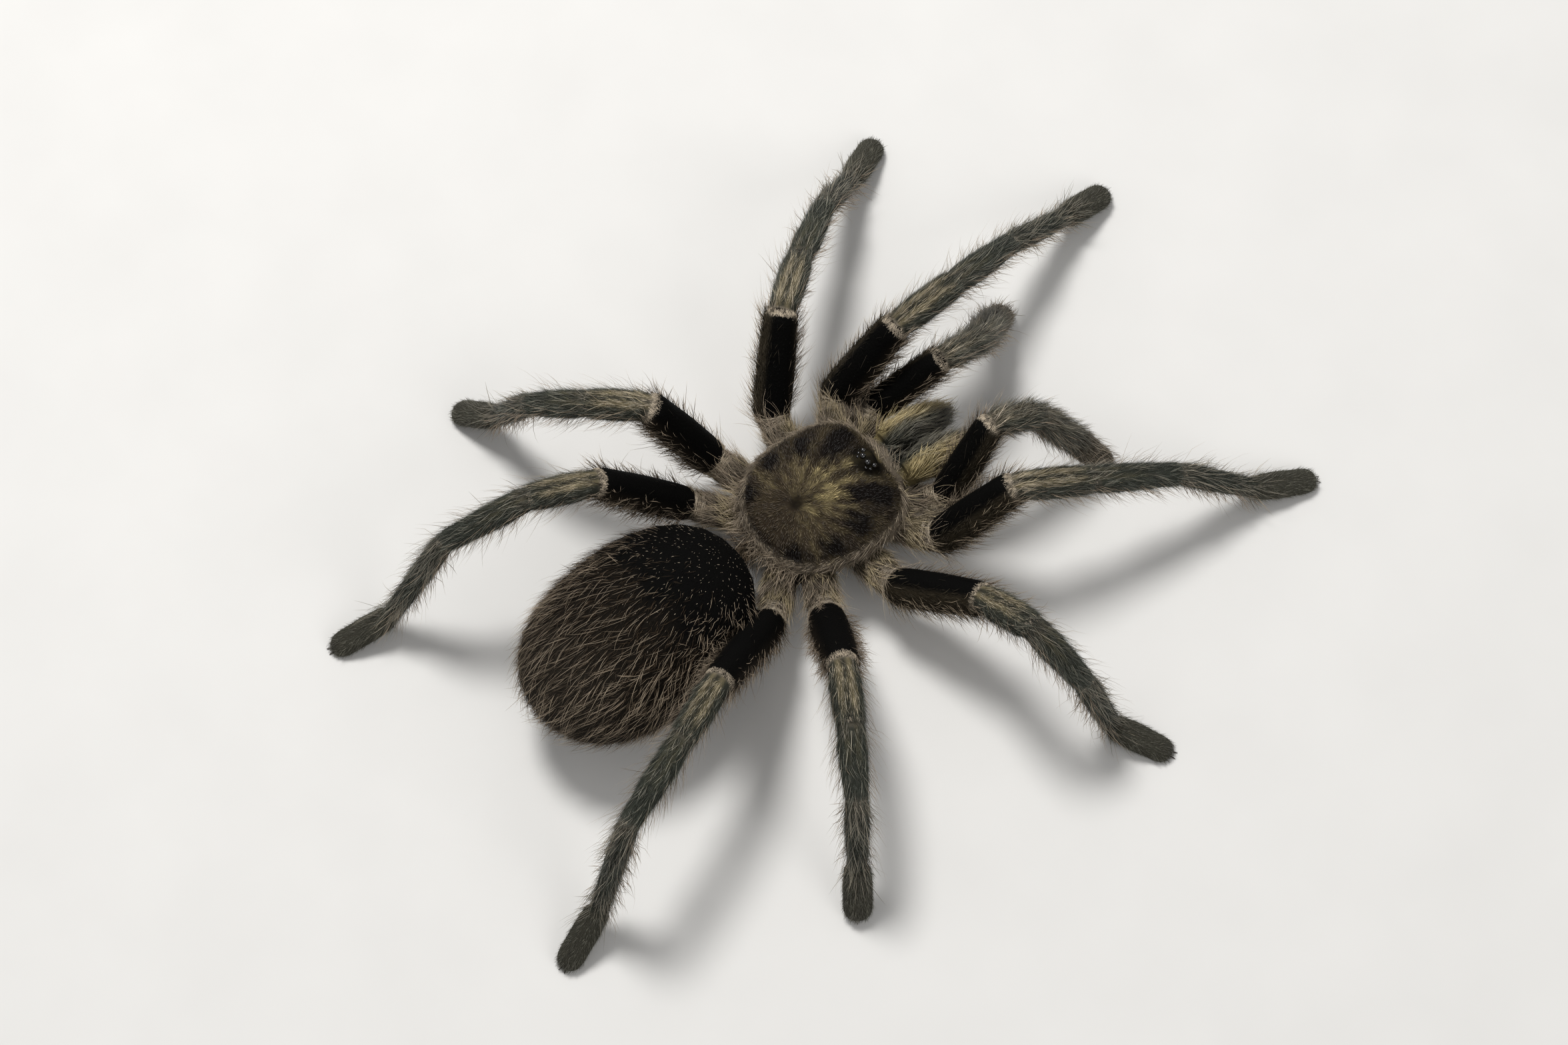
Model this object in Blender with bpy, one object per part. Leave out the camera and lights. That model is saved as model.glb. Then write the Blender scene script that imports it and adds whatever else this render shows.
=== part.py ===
"""Life-size tarantula standing on eight feet and two palps, as a still museum model.

The animal faces -Y, its left side is +X, and the floor is z = 0. Every solid reaches to the
tips of the dense coat, so it is a little fuller than the animal's skin.
"""
import math

import bmesh
import bpy
from mathutils import Matrix, Vector

MM = 0.001
LEFT = 1
RIGHT = -1

# ---- body (millimetres; forward is measured from the middle of the carapace) ----
CARAPACE_FRONT_REACH = 10.1
CARAPACE_REAR_REACH = 10.7
CARAPACE_WIDTH = 19.6
CARAPACE_HEIGHT = 4.5
CARAPACE_MIDDLE_HEIGHT = 8.9
CARAPACE_FLOOR_HEIGHT = 8.4
FRONT_SQUARENESS = 4.6
REAR_SQUARENESS = 2.2
FRONT_TAPER = 0.17
FRONT_DROOP = 0.9
CAPUT_LIFT = 0.16

EYE_MOUND_FORWARD = 7.0
EYE_MOUND_HALF_SIZE = (1.75, 1.35, 1.25)
EYE_SOCKET_GAP = 0.06

STERNUM_HALF_SIZE = (5.2, 8.0, 2.1)
STERNUM_HEIGHT = 5.2

CHELICERA_OUTWARD = 2.55
CHELICERA_FORWARD = 15.2
CHELICERA_HEIGHT = 7.7
CHELICERA_HALF_SIZE = (2.42, 6.8, 3.75)
CHELICERA_DROOP = 14.0
CHELICERA_REAR_FORWARD = 10.9
FANG_REACH = 4.6

PEDICEL_HEIGHT = 6.9
PEDICEL_RADIUS = 1.2
PEDICEL_FORWARD = (-9.0, -12.3)

ABDOMEN_HALF_SIZE = (12.4, 17.2, 9.3)
ABDOMEN_HEIGHT = 10.2
ABDOMEN_SWING = 10.0
ABDOMEN_FRONT_FORWARD = -12.6
ABDOMEN_SQUARENESS = 2.25

SPINNERET_LENGTH = 3.2
SPINNERET_OUTWARD = 1.6
SPINNERET_BACK = 11.6
SPINNERET_HEIGHT = 4.6

# ---- limbs ----
TUBE_SIDES = 12
JOINT_GAP = 0.3
FOOT_PRESS = 0.42

# Where each row of limbs leaves the sternum and where its femur begins: forward, outward, height.
COXA_ROOT = {
    "palp": (8.2, 3.2, 5.0),
    "leg1": (5.6, 4.0, 5.2),
    "leg2": (1.8, 4.6, 5.2),
    "leg3": (-2.4, 4.4, 5.2),
    "leg4": (-5.8, 3.4, 5.2),
}
FEMUR_ROOT = {
    "palp": (13.8, 7.95, 6.8),
    "leg1": (10.2, 12.2, 6.7),
    "leg2": (1.8, 14.4, 6.6),
    "leg3": (-8.0, 13.4, 6.9),
    "leg4": (-14.2, 9.9, 6.8),
}

# Lengths of femur, patella, tibia, metatarsus and tarsus; a palp has no metatarsus.
SEGMENT_LENGTH = {
    "palp": (12.8, 7.4, 8.8, 7.8),
    "leg1": (14.4, 10.6, 13.2, 13.2, 8.8),
    "leg2": (14.8, 10.2, 11.6, 11.8, 8.4),
    "leg3": (15.4, 8.0, 9.4, 11.2, 7.8),
    "leg4": (18.4, 8.8, 12.8, 16.6, 8.8),
}
LEG_SEGMENTS = ("femur", "patella", "tibia", "metatarsus", "tarsus")
PALP_SEGMENTS = ("femur", "patella", "tibia", "tarsus")

# Tube radius at fractions of each segment's length.
SEGMENT_RADIUS = {
    "coxa": ((0.0, 2.3), (0.55, 2.75)),
    "femur": ((0.0, 2.35), (0.2, 2.7), (0.55, 2.68), (0.85, 2.45)),
    "patella": ((0.0, 2.15), (0.25, 2.4), (0.75, 2.4)),
    "tibia": ((0.0, 2.05), (0.25, 2.3), (0.75, 2.1)),
    "metatarsus": ((0.0, 1.8), (0.25, 1.95), (0.75, 1.8)),
    "tarsus": ((0.0, 1.65), (0.35, 1.85), (0.8, 1.8), (0.94, 1.5), (1.0, 1.05)),
}
# The same for the last two segments of the palps, which are stouter.
PALP_RADIUS = {
    "tibia": ((0.0, 2.3), (0.25, 2.6), (0.75, 2.55)),
    "tarsus": ((0.0, 2.25), (0.35, 2.2), (0.75, 2.05), (0.93, 1.6), (1.0, 1.05)),
}
ROW_THICKNESS = {"palp": 0.88, "leg1": 1.0, "leg2": 1.0, "leg3": 1.0, "leg4": 0.95}

# The pose. "out" turns each segment away from straight ahead and "rise" lifts it above level,
# in degrees. The segment before the tarsus takes the drop that puts the foot on the floor.
POSE = {
    ("leg1", LEFT): {"out": (357, 9, 15, 11, 9), "rise": (51, -8, -25, None, -23)},
    ("leg1", RIGHT): {"out": (18, 21, 19, 26, 17), "rise": (50, -16, -21, None, -12)},
    ("leg2", LEFT): {"out": (48, 43, 38, 32, 31), "rise": (50, -18, -20, None, -20)},
    ("leg2", RIGHT): {"out": (60, 82, 65, 55, 54), "rise": (36, 37, -45, None, -12)},
    ("leg3", LEFT): {"out": (138, 139, 132, 117, 120), "rise": (60, -10, -28, None, -34)},
    ("leg3", RIGHT): {"out": (114, 117, 119, 121, 123), "rise": (46, 2, -11, None, -54)},
    ("leg4", LEFT): {"out": (165, 165, 165, 174, 170), "rise": (52, 10, -26, None, -18)},
    ("leg4", RIGHT): {"out": (150, 152, 154, 159, 159), "rise": (40, 8, -2, None, -26)},
    ("palp", LEFT): {"out": (343, 9, 31, 38), "rise": (47, -30, None, -52)},
    ("palp", RIGHT): {"out": (343, 10, 38, 45), "rise": (48, -26, None, -54)},
}

# Eyes, as pairs: outward, forward of the mound's middle, height above its middle, radius.
EYES = {
    "front_middle": (0.54, -0.2, 1.02, 0.42),
    "front_side": (1.27, 0.35, 0.75, 0.36),
    "rear_side": (1.33, -0.3, 0.55, 0.24),
    "rear_middle": (0.94, -0.72, 0.68, 0.22),
}


def animal_point(forward, outward, height, side=LEFT):
    """World point, in metres, of a place given in the animal's own directions."""
    return Vector((side * outward, -forward, height)) * MM


def animal_direction(out, rise, side):
    """Unit vector that is turned outward from straight ahead and lifted above level."""
    level = math.cos(math.radians(rise))
    turn = math.radians(out)
    return Vector((side * math.sin(turn) * level, -math.cos(turn) * level, math.sin(math.radians(rise))))


def clear_scene():
    for thing in list(bpy.data.objects):
        bpy.data.objects.remove(thing, do_unlink=True)


def new_collection(name):
    collection = bpy.data.collections.new(name)
    bpy.context.scene.collection.children.link(collection)
    return collection


def finish(name, color, roughness):
    material = bpy.data.materials.new(name)
    material.use_nodes = True
    shader = material.node_tree.nodes["Principled BSDF"]
    shader.inputs["Base Color"].default_value = (*color, 1.0)
    shader.inputs["Roughness"].default_value = roughness
    shader.inputs["Metallic"].default_value = 0.0
    return material


def object_from(mesh_builder, name, collection, material=None):
    """Turn a bmesh into an object that faces outward."""
    bmesh.ops.recalc_face_normals(mesh_builder, faces=mesh_builder.faces)
    mesh = bpy.data.meshes.new(name)
    mesh_builder.to_mesh(mesh)
    mesh_builder.free()
    if material:
        mesh.materials.append(material)
        for face in mesh.polygons:
            face.use_smooth = True
    solid = bpy.data.objects.new(name, mesh)
    collection.objects.link(solid)
    return solid


def formed_sphere(across, rings, form):
    """Unit sphere with its poles front and back, moved point by point by a shaping function."""
    builder = bmesh.new()
    turned = Matrix.Rotation(math.radians(90), 4, "X")
    bmesh.ops.create_uvsphere(builder, u_segments=across, v_segments=rings, radius=1.0, matrix=turned)
    for vertex in builder.verts:
        vertex.co = form(vertex.co)
    return builder


def squared(first, second, power):
    """How far a superellipse reaches, compared with a circle, in a direction."""
    length = math.hypot(first, second)
    if length == 0.0:
        return 1.0
    return (abs(first / length) ** power + abs(second / length) ** power) ** (-1.0 / power)


def cut_flat(builder, point, normal):
    """Remove what lies on the normal's side of a plane and close the cut."""
    geometry = builder.verts[:] + builder.edges[:] + builder.faces[:]
    cut = bmesh.ops.bisect_plane(
        builder, geom=geometry, dist=1e-7, plane_co=point, plane_no=normal, clear_outer=True)
    rim = [item for item in cut["geom_cut"] if isinstance(item, bmesh.types.BMEdge)]
    bmesh.ops.contextual_create(builder, geom=rim)


def apply_boolean(solid, operation, cutters):
    """Join or cut a solid with every object of a collection."""
    modifier = solid.modifiers.new(operation.title(), "BOOLEAN")
    modifier.operation = operation
    modifier.solver = "EXACT"
    modifier.operand_type = "COLLECTION"
    modifier.collection = cutters
    evaluated = solid.evaluated_get(bpy.context.evaluated_depsgraph_get())
    mesh = bpy.data.meshes.new_from_object(evaluated)
    solid.modifiers.remove(modifier)
    solid.data = mesh
    builder = bmesh.new()
    builder.from_mesh(mesh)
    bmesh.ops.remove_doubles(builder, verts=builder.verts, dist=0.00001)
    bmesh.ops.dissolve_degenerate(builder, edges=builder.edges, dist=0.00001)
    builder.to_mesh(mesh)
    builder.free()
    for face in mesh.polygons:
        face.use_smooth = True


def tube_builder(points, radii):
    """Closed round tube through a list of points, with one radius for each."""
    curve = bpy.data.curves.new("tube", "CURVE")
    curve.dimensions = "3D"
    curve.bevel_depth = 1.0
    curve.bevel_resolution = (TUBE_SIDES - 4) // 2
    curve.use_fill_caps = True
    spline = curve.splines.new("POLY")
    spline.points.add(len(points) - 1)
    for target, point, radius in zip(spline.points, points, radii):
        target.co = (*point, 1.0)
        target.radius = radius
    carrier = bpy.data.objects.new("tube", curve)
    bpy.context.scene.collection.objects.link(carrier)
    bpy.context.view_layer.update()
    mesh = bpy.data.meshes.new_from_object(carrier)
    builder = bmesh.new()
    builder.from_mesh(mesh)
    bmesh.ops.remove_doubles(builder, verts=builder.verts, dist=0.00001)
    bpy.data.objects.remove(carrier, do_unlink=True)
    bpy.data.meshes.remove(mesh)
    return builder


def limb_joints(row, side):
    """Joint centres of one limb, from the sternum to the tip of the foot."""
    pose = POSE[(row, side)]
    lengths = SEGMENT_LENGTH[row]
    rises = list(pose["rise"])
    tip_radius = SEGMENT_RADIUS["tarsus"][-1][1] * ROW_THICKNESS[row]
    tip_height = tip_radius * math.cos(math.radians(rises[-1])) - FOOT_PRESS
    root_height = FEMUR_ROOT[row][2]
    free = rises.index(None)
    others = [index for index in range(len(rises)) if index != free]
    climb = sum(lengths[index] * math.sin(math.radians(rises[index])) for index in others)
    drop = (tip_height - root_height - climb) / lengths[free]
    rises[free] = math.degrees(math.asin(drop))

    joints = [animal_point(*COXA_ROOT[row], side), animal_point(*FEMUR_ROOT[row], side)]
    for out, rise, length in zip(pose["out"], rises, lengths):
        joints.append(joints[-1] + animal_direction(out, rise, side) * length * MM)
    return joints


def limb_tube(row, side, growth=0.0):
    """The whole limb as one tube, and its joint centres."""
    joints = limb_joints(row, side)
    segments = ("coxa",) + (PALP_SEGMENTS if row == "palp" else LEG_SEGMENTS)
    points = []
    radii = []
    for segment, start, end in zip(segments, joints, joints[1:]):
        stouter = row == "palp" and segment in PALP_RADIUS
        for fraction, radius in (PALP_RADIUS if stouter else SEGMENT_RADIUS)[segment]:
            points.append(start.lerp(end, fraction))
            radii.append((radius * ROW_THICKNESS[row] + growth) * MM)
    return tube_builder(points, radii), joints


def joint_plane(joints, index):
    """Centre and direction of the thin cut across a joint."""
    before = (joints[index] - joints[index - 1]).normalized()
    after = (joints[index + 1] - joints[index]).normalized()
    return joints[index], (before + after).normalized()


def cut_limb(whole, joints, first, last):
    """The stretch of a limb between two joints, kept half a gap short of each."""
    piece = whole.copy()
    half_gap = JOINT_GAP / 2 * MM
    if first > 0:
        centre, along = joint_plane(joints, first)
        cut_flat(piece, centre + along * half_gap, -along)
    if last < len(joints) - 1:
        centre, along = joint_plane(joints, last)
        cut_flat(piece, centre - along * half_gap, along)
    else:
        cut_flat(piece, Vector((0.0, 0.0, 0.0)), Vector((0.0, 0.0, -1.0)))
    return piece


def build_limb(row, side, body, coxae, finishes):
    """Make a limb's own nodes, and leave its coxa with the others for the sternum."""
    side_name = "left" if side == LEFT else "right"
    whole, joints = limb_tube(row, side)
    object_from(cut_limb(whole, joints, 0, 1), f"{row}_{side_name}_coxa", coxae)
    spans = {"femur": (1, 2), "patella": (2, 3), "tibia": (3, 4)}
    if row == "palp":
        spans["tarsus"] = (4, 5)
    else:
        spans["foot"] = (4, 6)
    for segment, (first, last) in spans.items():
        piece = cut_limb(whole, joints, first, last)
        object_from(piece, f"{row}_{side_name}_{segment}", body, finishes[segment])
    whole.free()


def carapace_form(unit, growth=0.0):
    forward = -unit.y
    power = FRONT_SQUARENESS if forward > 0 else REAR_SQUARENESS
    length = CARAPACE_FRONT_REACH if forward > 0 else CARAPACE_REAR_REACH
    reach = squared(unit.x, unit.y, power)
    ahead = max(0.0, forward * reach)
    taper = 1.0 - FRONT_TAPER * ahead ** 2
    lift = 1.0 + CAPUT_LIFT * forward
    return Vector((
        unit.x * (reach * taper * CARAPACE_WIDTH / 2 + growth),
        unit.y * (reach * length + growth),
        CARAPACE_MIDDLE_HEIGHT - FRONT_DROOP * ahead ** 4 + unit.z * (CARAPACE_HEIGHT * lift + growth),
    )) * MM


def eye_mound_centre():
    forward = EYE_MOUND_FORWARD / CARAPACE_FRONT_REACH
    rise = math.sqrt(1.0 - forward ** 2) * CARAPACE_HEIGHT * (1.0 + CAPUT_LIFT * forward)
    height = CARAPACE_MIDDLE_HEIGHT - FRONT_DROOP * forward ** 4 + rise
    return Vector((0.0, -EYE_MOUND_FORWARD, height)) * MM


def ball_builder(centre, radius):
    builder = bmesh.new()
    bmesh.ops.create_uvsphere(builder, u_segments=8, v_segments=6, radius=radius)
    bmesh.ops.translate(builder, verts=builder.verts, vec=centre)
    return builder


def build_carapace(body, cutters, finishes):
    """Domed plate with its eye mound, and eight eyes let into the mound."""
    shell = formed_sphere(28, 14, carapace_form)
    cut_flat(shell, animal_point(0.0, 0.0, CARAPACE_FLOOR_HEIGHT), Vector((0.0, 0.0, -1.0)))
    carapace = object_from(shell, "carapace", body, finishes["carapace"])

    mound_parts = new_collection("eye_mound_parts")
    centre = eye_mound_centre()
    mound = formed_sphere(12, 8, lambda unit: centre + Vector(
        unit[axis] * EYE_MOUND_HALF_SIZE[axis] * MM for axis in range(3)))
    object_from(mound, "eye_mound", mound_parts)
    apply_boolean(carapace, "UNION", mound_parts)

    sockets = new_collection("eye_sockets")
    for side, side_name in ((LEFT, "left"), (RIGHT, "right")):
        for eye, (outward, forward, height, radius) in EYES.items():
            place = centre + animal_point(forward, outward, height, side)
            ball = ball_builder(place, radius * MM)
            object_from(ball, f"eye_{eye}_{side_name}", body, finishes["eye"])
            socket = ball_builder(place, (radius + EYE_SOCKET_GAP) * MM)
            object_from(socket, f"socket_{eye}_{side_name}", sockets)
    apply_boolean(carapace, "DIFFERENCE", sockets)
    cutters.extend([mound_parts, sockets])


def chelicera_form(side, growth=0.0):
    """Drooping egg, fullest towards its front end."""
    droop = Matrix.Rotation(math.radians(CHELICERA_DROOP), 3, "X")
    centre = animal_point(CHELICERA_FORWARD, CHELICERA_OUTWARD, CHELICERA_HEIGHT, side)

    def form(unit):
        fullness = 0.92 - 0.12 * unit.y
        local = Vector((
            unit.x * fullness * CHELICERA_HALF_SIZE[0] + unit.x * growth,
            unit.y * CHELICERA_HALF_SIZE[1] + unit.y * growth,
            unit.z * fullness * CHELICERA_HALF_SIZE[2] + unit.z * growth,
        ))
        return centre + droop @ local * MM

    return form


def build_chelicerae(body, clearances, finishes):
    """Two jaws with a folded fang under the front of each."""
    for side, side_name in ((LEFT, "left"), (RIGHT, "right")):
        jaw = formed_sphere(16, 12, chelicera_form(side))
        rear = animal_point(CHELICERA_REAR_FORWARD, 0.0, 0.0)
        cut_flat(jaw, rear, Vector((0.0, 1.0, 0.0)))
        object_from(jaw, f"chelicera_{side_name}", body, finishes["chelicera"])
        room = formed_sphere(16, 12, chelicera_form(side, JOINT_GAP))
        object_from(room, f"chelicera_room_{side_name}", clearances)

        points = []
        radii = []
        for step in range(6):
            part = step / 5
            sweep = math.radians(20 + 100 * part)
            points.append(animal_point(
                CHELICERA_FORWARD + 1.6 + FANG_REACH * math.cos(sweep),
                CHELICERA_OUTWARD - 0.5 * part,
                4.4 - 2.6 * math.sin(sweep),
                side))
            radii.append((0.75 - 0.5 * part) * MM)
        object_from(tube_builder(points, radii), f"fang_{side_name}", body, finishes["fang"])


def abdomen_form(unit, growth=0.0):
    power = ABDOMEN_SQUARENESS
    reach = squared(unit.x, unit.y, power)
    local = Vector((
        unit.x * (reach * ABDOMEN_HALF_SIZE[0] * (1.0 + 0.04 * unit.y) + growth),
        unit.y * (reach * ABDOMEN_HALF_SIZE[1] + growth),
        unit.z * (ABDOMEN_HALF_SIZE[2] + growth),
    ))
    return abdomen_frame() @ (local * MM)


def abdomen_frame():
    """Turns about the waist and carries the abdomen's own directions to its middle."""
    waist = Matrix.Translation(animal_point(ABDOMEN_FRONT_FORWARD, 0.0, ABDOMEN_HEIGHT))
    swing = Matrix.Rotation(math.radians(ABDOMEN_SWING), 4, "Z")
    backward = Matrix.Translation(Vector((0.0, ABDOMEN_HALF_SIZE[1], 0.0)) * MM)
    return waist @ swing @ backward


def build_abdomen(body, cutters, finishes):
    """Soft belly, dented where the right hind leg presses on it, and its two short spinnerets."""
    abdomen = object_from(formed_sphere(26, 14, abdomen_form), "abdomen", body, finishes["abdomen"])
    leg_room = new_collection("leg_room")
    tube, _ = limb_tube("leg4", RIGHT, JOINT_GAP)
    object_from(tube, "leg4_right_room", leg_room)
    apply_boolean(abdomen, "DIFFERENCE", leg_room)
    belly_room = new_collection("belly_room")
    belly = formed_sphere(26, 14, lambda unit: abdomen_form(unit, JOINT_GAP))
    object_from(belly, "belly_room", belly_room)
    cutters.extend([leg_room, belly_room])

    frame = abdomen_frame()
    for side, side_name in ((LEFT, "left"), (RIGHT, "right")):
        points = []
        radii = []
        for step in range(4):
            part = step / 3
            local = Vector((
                side * (SPINNERET_OUTWARD + 0.9 * part),
                SPINNERET_BACK + SPINNERET_LENGTH * part,
                SPINNERET_HEIGHT - ABDOMEN_HEIGHT + 0.6 * part,
            ))
            points.append(frame @ (local * MM))
            radii.append((0.85 - 0.35 * part) * MM)
        tube = tube_builder(points, radii)
        spinneret = object_from(tube, f"spinneret_{side_name}", body, finishes["spinneret"])
        apply_boolean(spinneret, "DIFFERENCE", belly_room)


def build_underside(body, coxae, clearances, finishes):
    """Sternum with the ten coxae that spread from it."""
    room = formed_sphere(28, 14, lambda unit: carapace_form(unit, JOINT_GAP))
    cut_flat(room, animal_point(0.0, 0.0, CARAPACE_FLOOR_HEIGHT - JOINT_GAP), Vector((0.0, 0.0, -1.0)))
    object_from(room, "carapace_room", clearances)
    plate = formed_sphere(16, 8, lambda unit: Vector((
        unit.x * STERNUM_HALF_SIZE[0],
        unit.y * STERNUM_HALF_SIZE[1],
        STERNUM_HEIGHT + unit.z * STERNUM_HALF_SIZE[2],
    )) * MM)
    sternum = object_from(plate, "sternum_and_coxae", body, finishes["sternum"])
    apply_boolean(sternum, "UNION", coxae)
    apply_boolean(sternum, "DIFFERENCE", clearances)


def build_pedicel(body, finishes):
    ends = [animal_point(forward, 0.0, PEDICEL_HEIGHT) for forward in PEDICEL_FORWARD]
    object_from(tube_builder(ends, [PEDICEL_RADIUS * MM] * 2), "pedicel", body, finishes["sternum"])


def hide_cutters(collections):
    for collection in collections:
        collection.hide_render = True
        for cutter in collection.objects:
            cutter.hide_render = True
            cutter.display_type = "WIRE"


def centre_over_origin(body):
    """Hang every node from one empty, with the middle of the whole footprint at the origin."""
    corners = [node.matrix_world @ Vector(corner) for node in body.objects for corner in node.bound_box]
    middle = [(min(corner[axis] for corner in corners) + max(corner[axis] for corner in corners)) / 2
              for axis in range(2)]
    root = bpy.data.objects.new("tarantula_root", None)
    root.location = (-middle[0], -middle[1], 0.0)
    nodes = list(body.objects)
    body.objects.link(root)
    for node in nodes:
        node.parent = root


def main():
    clear_scene()
    body = new_collection("tarantula")
    coxae = new_collection("coxae")
    clearances = new_collection("clearances")
    cutters = [coxae, clearances]
    finishes = {
        "carapace": finish("carapace_hair", (0.045, 0.036, 0.024), 0.7),
        "eye": finish("eye_lens", (0.006, 0.006, 0.007), 0.08),
        "sternum": finish("underside_hair", (0.03, 0.025, 0.02), 0.8),
        "chelicera": finish("jaw_hair", (0.14, 0.11, 0.065), 0.7),
        "fang": finish("fang_horn", (0.012, 0.008, 0.007), 0.2),
        "abdomen": finish("abdomen_hair", (0.012, 0.01, 0.009), 0.85),
        "spinneret": finish("spinneret_hair", (0.03, 0.026, 0.022), 0.8),
        "femur": finish("femur_velvet", (0.006, 0.006, 0.006), 0.9),
        "patella": finish("patella_hair", (0.075, 0.075, 0.062), 0.75),
        "tibia": finish("tibia_hair", (0.07, 0.072, 0.065), 0.75),
        "foot": finish("foot_hair", (0.055, 0.06, 0.06), 0.8),
        "tarsus": finish("palp_foot_hair", (0.055, 0.06, 0.06), 0.8),
    }
    for row, side in POSE:
        build_limb(row, side, body, coxae, finishes)
    build_chelicerae(body, clearances, finishes)
    build_underside(body, coxae, clearances, finishes)
    build_carapace(body, cutters, finishes)
    build_pedicel(body, finishes)
    build_abdomen(body, cutters, finishes)
    hide_cutters(cutters)
    centre_over_origin(body)


main()
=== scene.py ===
"""Looks of the life-size tarantula: one skin, a coat of solid hairs, glossy eyes, fangs and claws.

The skin is lofted and grown inside the CAD nodes. Each point of it knows which part of the
animal it is on, which way the coat lies there and how the markings run, and every hair takes
these from its root. Work in this script is in millimetres; meshes are made in metres.
The animal faces -Y, its left side is +X and it stands on z = 0.
"""
import math

import bmesh
import bpy
import numpy as np
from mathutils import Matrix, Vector
from mathutils.bvhtree import BVHTree


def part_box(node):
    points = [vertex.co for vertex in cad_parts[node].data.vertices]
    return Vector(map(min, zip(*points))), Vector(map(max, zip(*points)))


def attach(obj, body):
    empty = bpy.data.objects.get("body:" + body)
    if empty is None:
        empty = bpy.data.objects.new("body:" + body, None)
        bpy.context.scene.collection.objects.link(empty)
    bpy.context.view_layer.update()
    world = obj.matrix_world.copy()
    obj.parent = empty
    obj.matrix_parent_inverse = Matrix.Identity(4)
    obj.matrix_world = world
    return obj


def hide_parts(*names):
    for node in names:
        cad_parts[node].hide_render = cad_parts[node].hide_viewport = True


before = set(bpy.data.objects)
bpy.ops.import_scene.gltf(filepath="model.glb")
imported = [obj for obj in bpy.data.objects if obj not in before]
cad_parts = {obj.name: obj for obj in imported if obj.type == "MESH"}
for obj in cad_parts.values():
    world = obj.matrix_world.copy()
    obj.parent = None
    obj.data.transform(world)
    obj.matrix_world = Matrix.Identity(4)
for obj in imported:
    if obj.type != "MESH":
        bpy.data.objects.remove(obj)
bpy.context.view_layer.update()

MM = 0.001
rng = np.random.default_rng(7)

# ---- how the coat and skin are made, in millimetres ----
VOXEL = 0.34
SPINE_STEP = 0.4
SKIN_SIDES = 24
SOLE_HEIGHT = 0.03
# Size of a hair's patch on the bake map, as a share of the map.
PATCH = 0.003
# Hairs that would come lower than the clearance are pressed together above the floor.
CLEARANCE = 0.15
SQUASH = 0.8
# Thickness of a hair at each ring of points from its root on, and its height as a share of its width.
HAIR_TAPER = (0.8, 1.0, 0.7, 0.42)
HAIR_FLATNESS = 0.5

# How far the skin lies inside the CAD solids.
COAT_DEPTH = {
    "coxa": 0.5, "femur": 0.15, "patella": 0.35, "tibia": 0.4, "metatarsus": 0.35, "tarsus": 0.05,
    "carapace": 0.2, "chelicera": 0.25, "abdomen": 0.8, "spinneret": 0.2,
}
# Skin radius at fractions of each segment, as a share of the tube under the coat.
SEGMENT_SHAPE = {
    "coxa": ((0.0, 1.0), (0.7, 1.0), (0.88, 0.93), (1.0, 0.97)),
    "femur": ((0.0, 0.9), (0.06, 0.97), (0.2, 1.0), (0.8, 1.0), (0.94, 1.0), (1.0, 0.93)),
    "patella": ((0.0, 0.86), (0.1, 0.97), (0.3, 1.0), (0.8, 1.0), (0.94, 0.97), (1.0, 0.86)),
    "tibia": ((0.0, 0.87), (0.08, 0.95), (0.3, 1.0), (0.8, 0.98), (0.94, 0.97), (1.0, 0.86)),
    "metatarsus": ((0.0, 0.88), (0.08, 0.96), (0.3, 1.0), (0.8, 0.95), (1.0, 0.9)),
    "tarsus": ((0.0, 0.92), (0.1, 1.0), (0.8, 1.0), (0.93, 0.88), (1.0, 0.5)),
}
LEG_SEGMENTS = ("coxa", "femur", "patella", "tibia", "metatarsus", "tarsus")
PALP_SEGMENTS = ("coxa", "femur", "patella", "tibia", "tarsus")
SEGMENT_CODE = {name: code for code, name in enumerate(LEG_SEGMENTS)}
ROWS = ("palp", "leg1", "leg2", "leg3", "leg4")
SIDES = ("left", "right")
COXA_START_HEIGHT = 5.2
FOVEA_BEHIND = 3.4
FOVEA_DEPTH = 0.7
JAW_LENGTH = 13.0
JAW_HALF_WIDTH = 2.4
JAW_HALF_HEIGHT = 3.7

# ---- camera, in degrees and metres, with its aim in millimetres from the carapace ----
CAMERA_AZIMUTH = 236.5
CAMERA_ELEVATION = 66.0
CAMERA_LENS = 75.0
CAMERA_DISTANCE = 0.428
SENSOR_WIDTH = 36.0
AIM_RIGHT = -4.43
AIM_AWAY = 0.99
FLOOR_HALF = 1.5


# ---- small helpers ----
def unit(vectors):
    return vectors / np.maximum(length_of(vectors)[..., None], 1e-9)


def length_of(vectors):
    return np.linalg.norm(vectors, axis=-1)


def dot(first, second):
    return np.sum(first * second, axis=-1)


def ease(low, high, value):
    """0 below low, 1 above high, smooth between; high may be the smaller one."""
    share = np.clip((value - low) / (high - low), 0.0, 1.0)
    return share * share * (3.0 - 2.0 * share)


def bump_at(value, centre, width):
    return np.exp(-((value - centre) / width) ** 2)


def table_at(table, fractions):
    places, values = zip(*table)
    return np.interp(fractions, places, values)


def linear(screen_color):
    """Linear colour, with alpha, from screen values out of 255."""
    screen = np.array(screen_color) / 255.0
    light = np.where(screen <= 0.04045, screen / 12.92, ((screen + 0.055) / 1.055) ** 2.4)
    return (*[float(part) for part in light], 1.0)


def node_arrays(name):
    """Vertices, in millimetres, and triangles of one CAD node."""
    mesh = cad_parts[name].data
    mesh.calc_loop_triangles()
    places = np.empty(len(mesh.vertices) * 3)
    mesh.vertices.foreach_get("co", places)
    triangles = np.empty(len(mesh.loop_triangles) * 3, dtype=np.int32)
    mesh.loop_triangles.foreach_get("vertices", triangles)
    return places.reshape(-1, 3) / MM, triangles.reshape(-1, 3)


def node_middle(name):
    low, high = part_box(name)
    return (np.array(low) + np.array(high)) / 2 / MM


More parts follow.
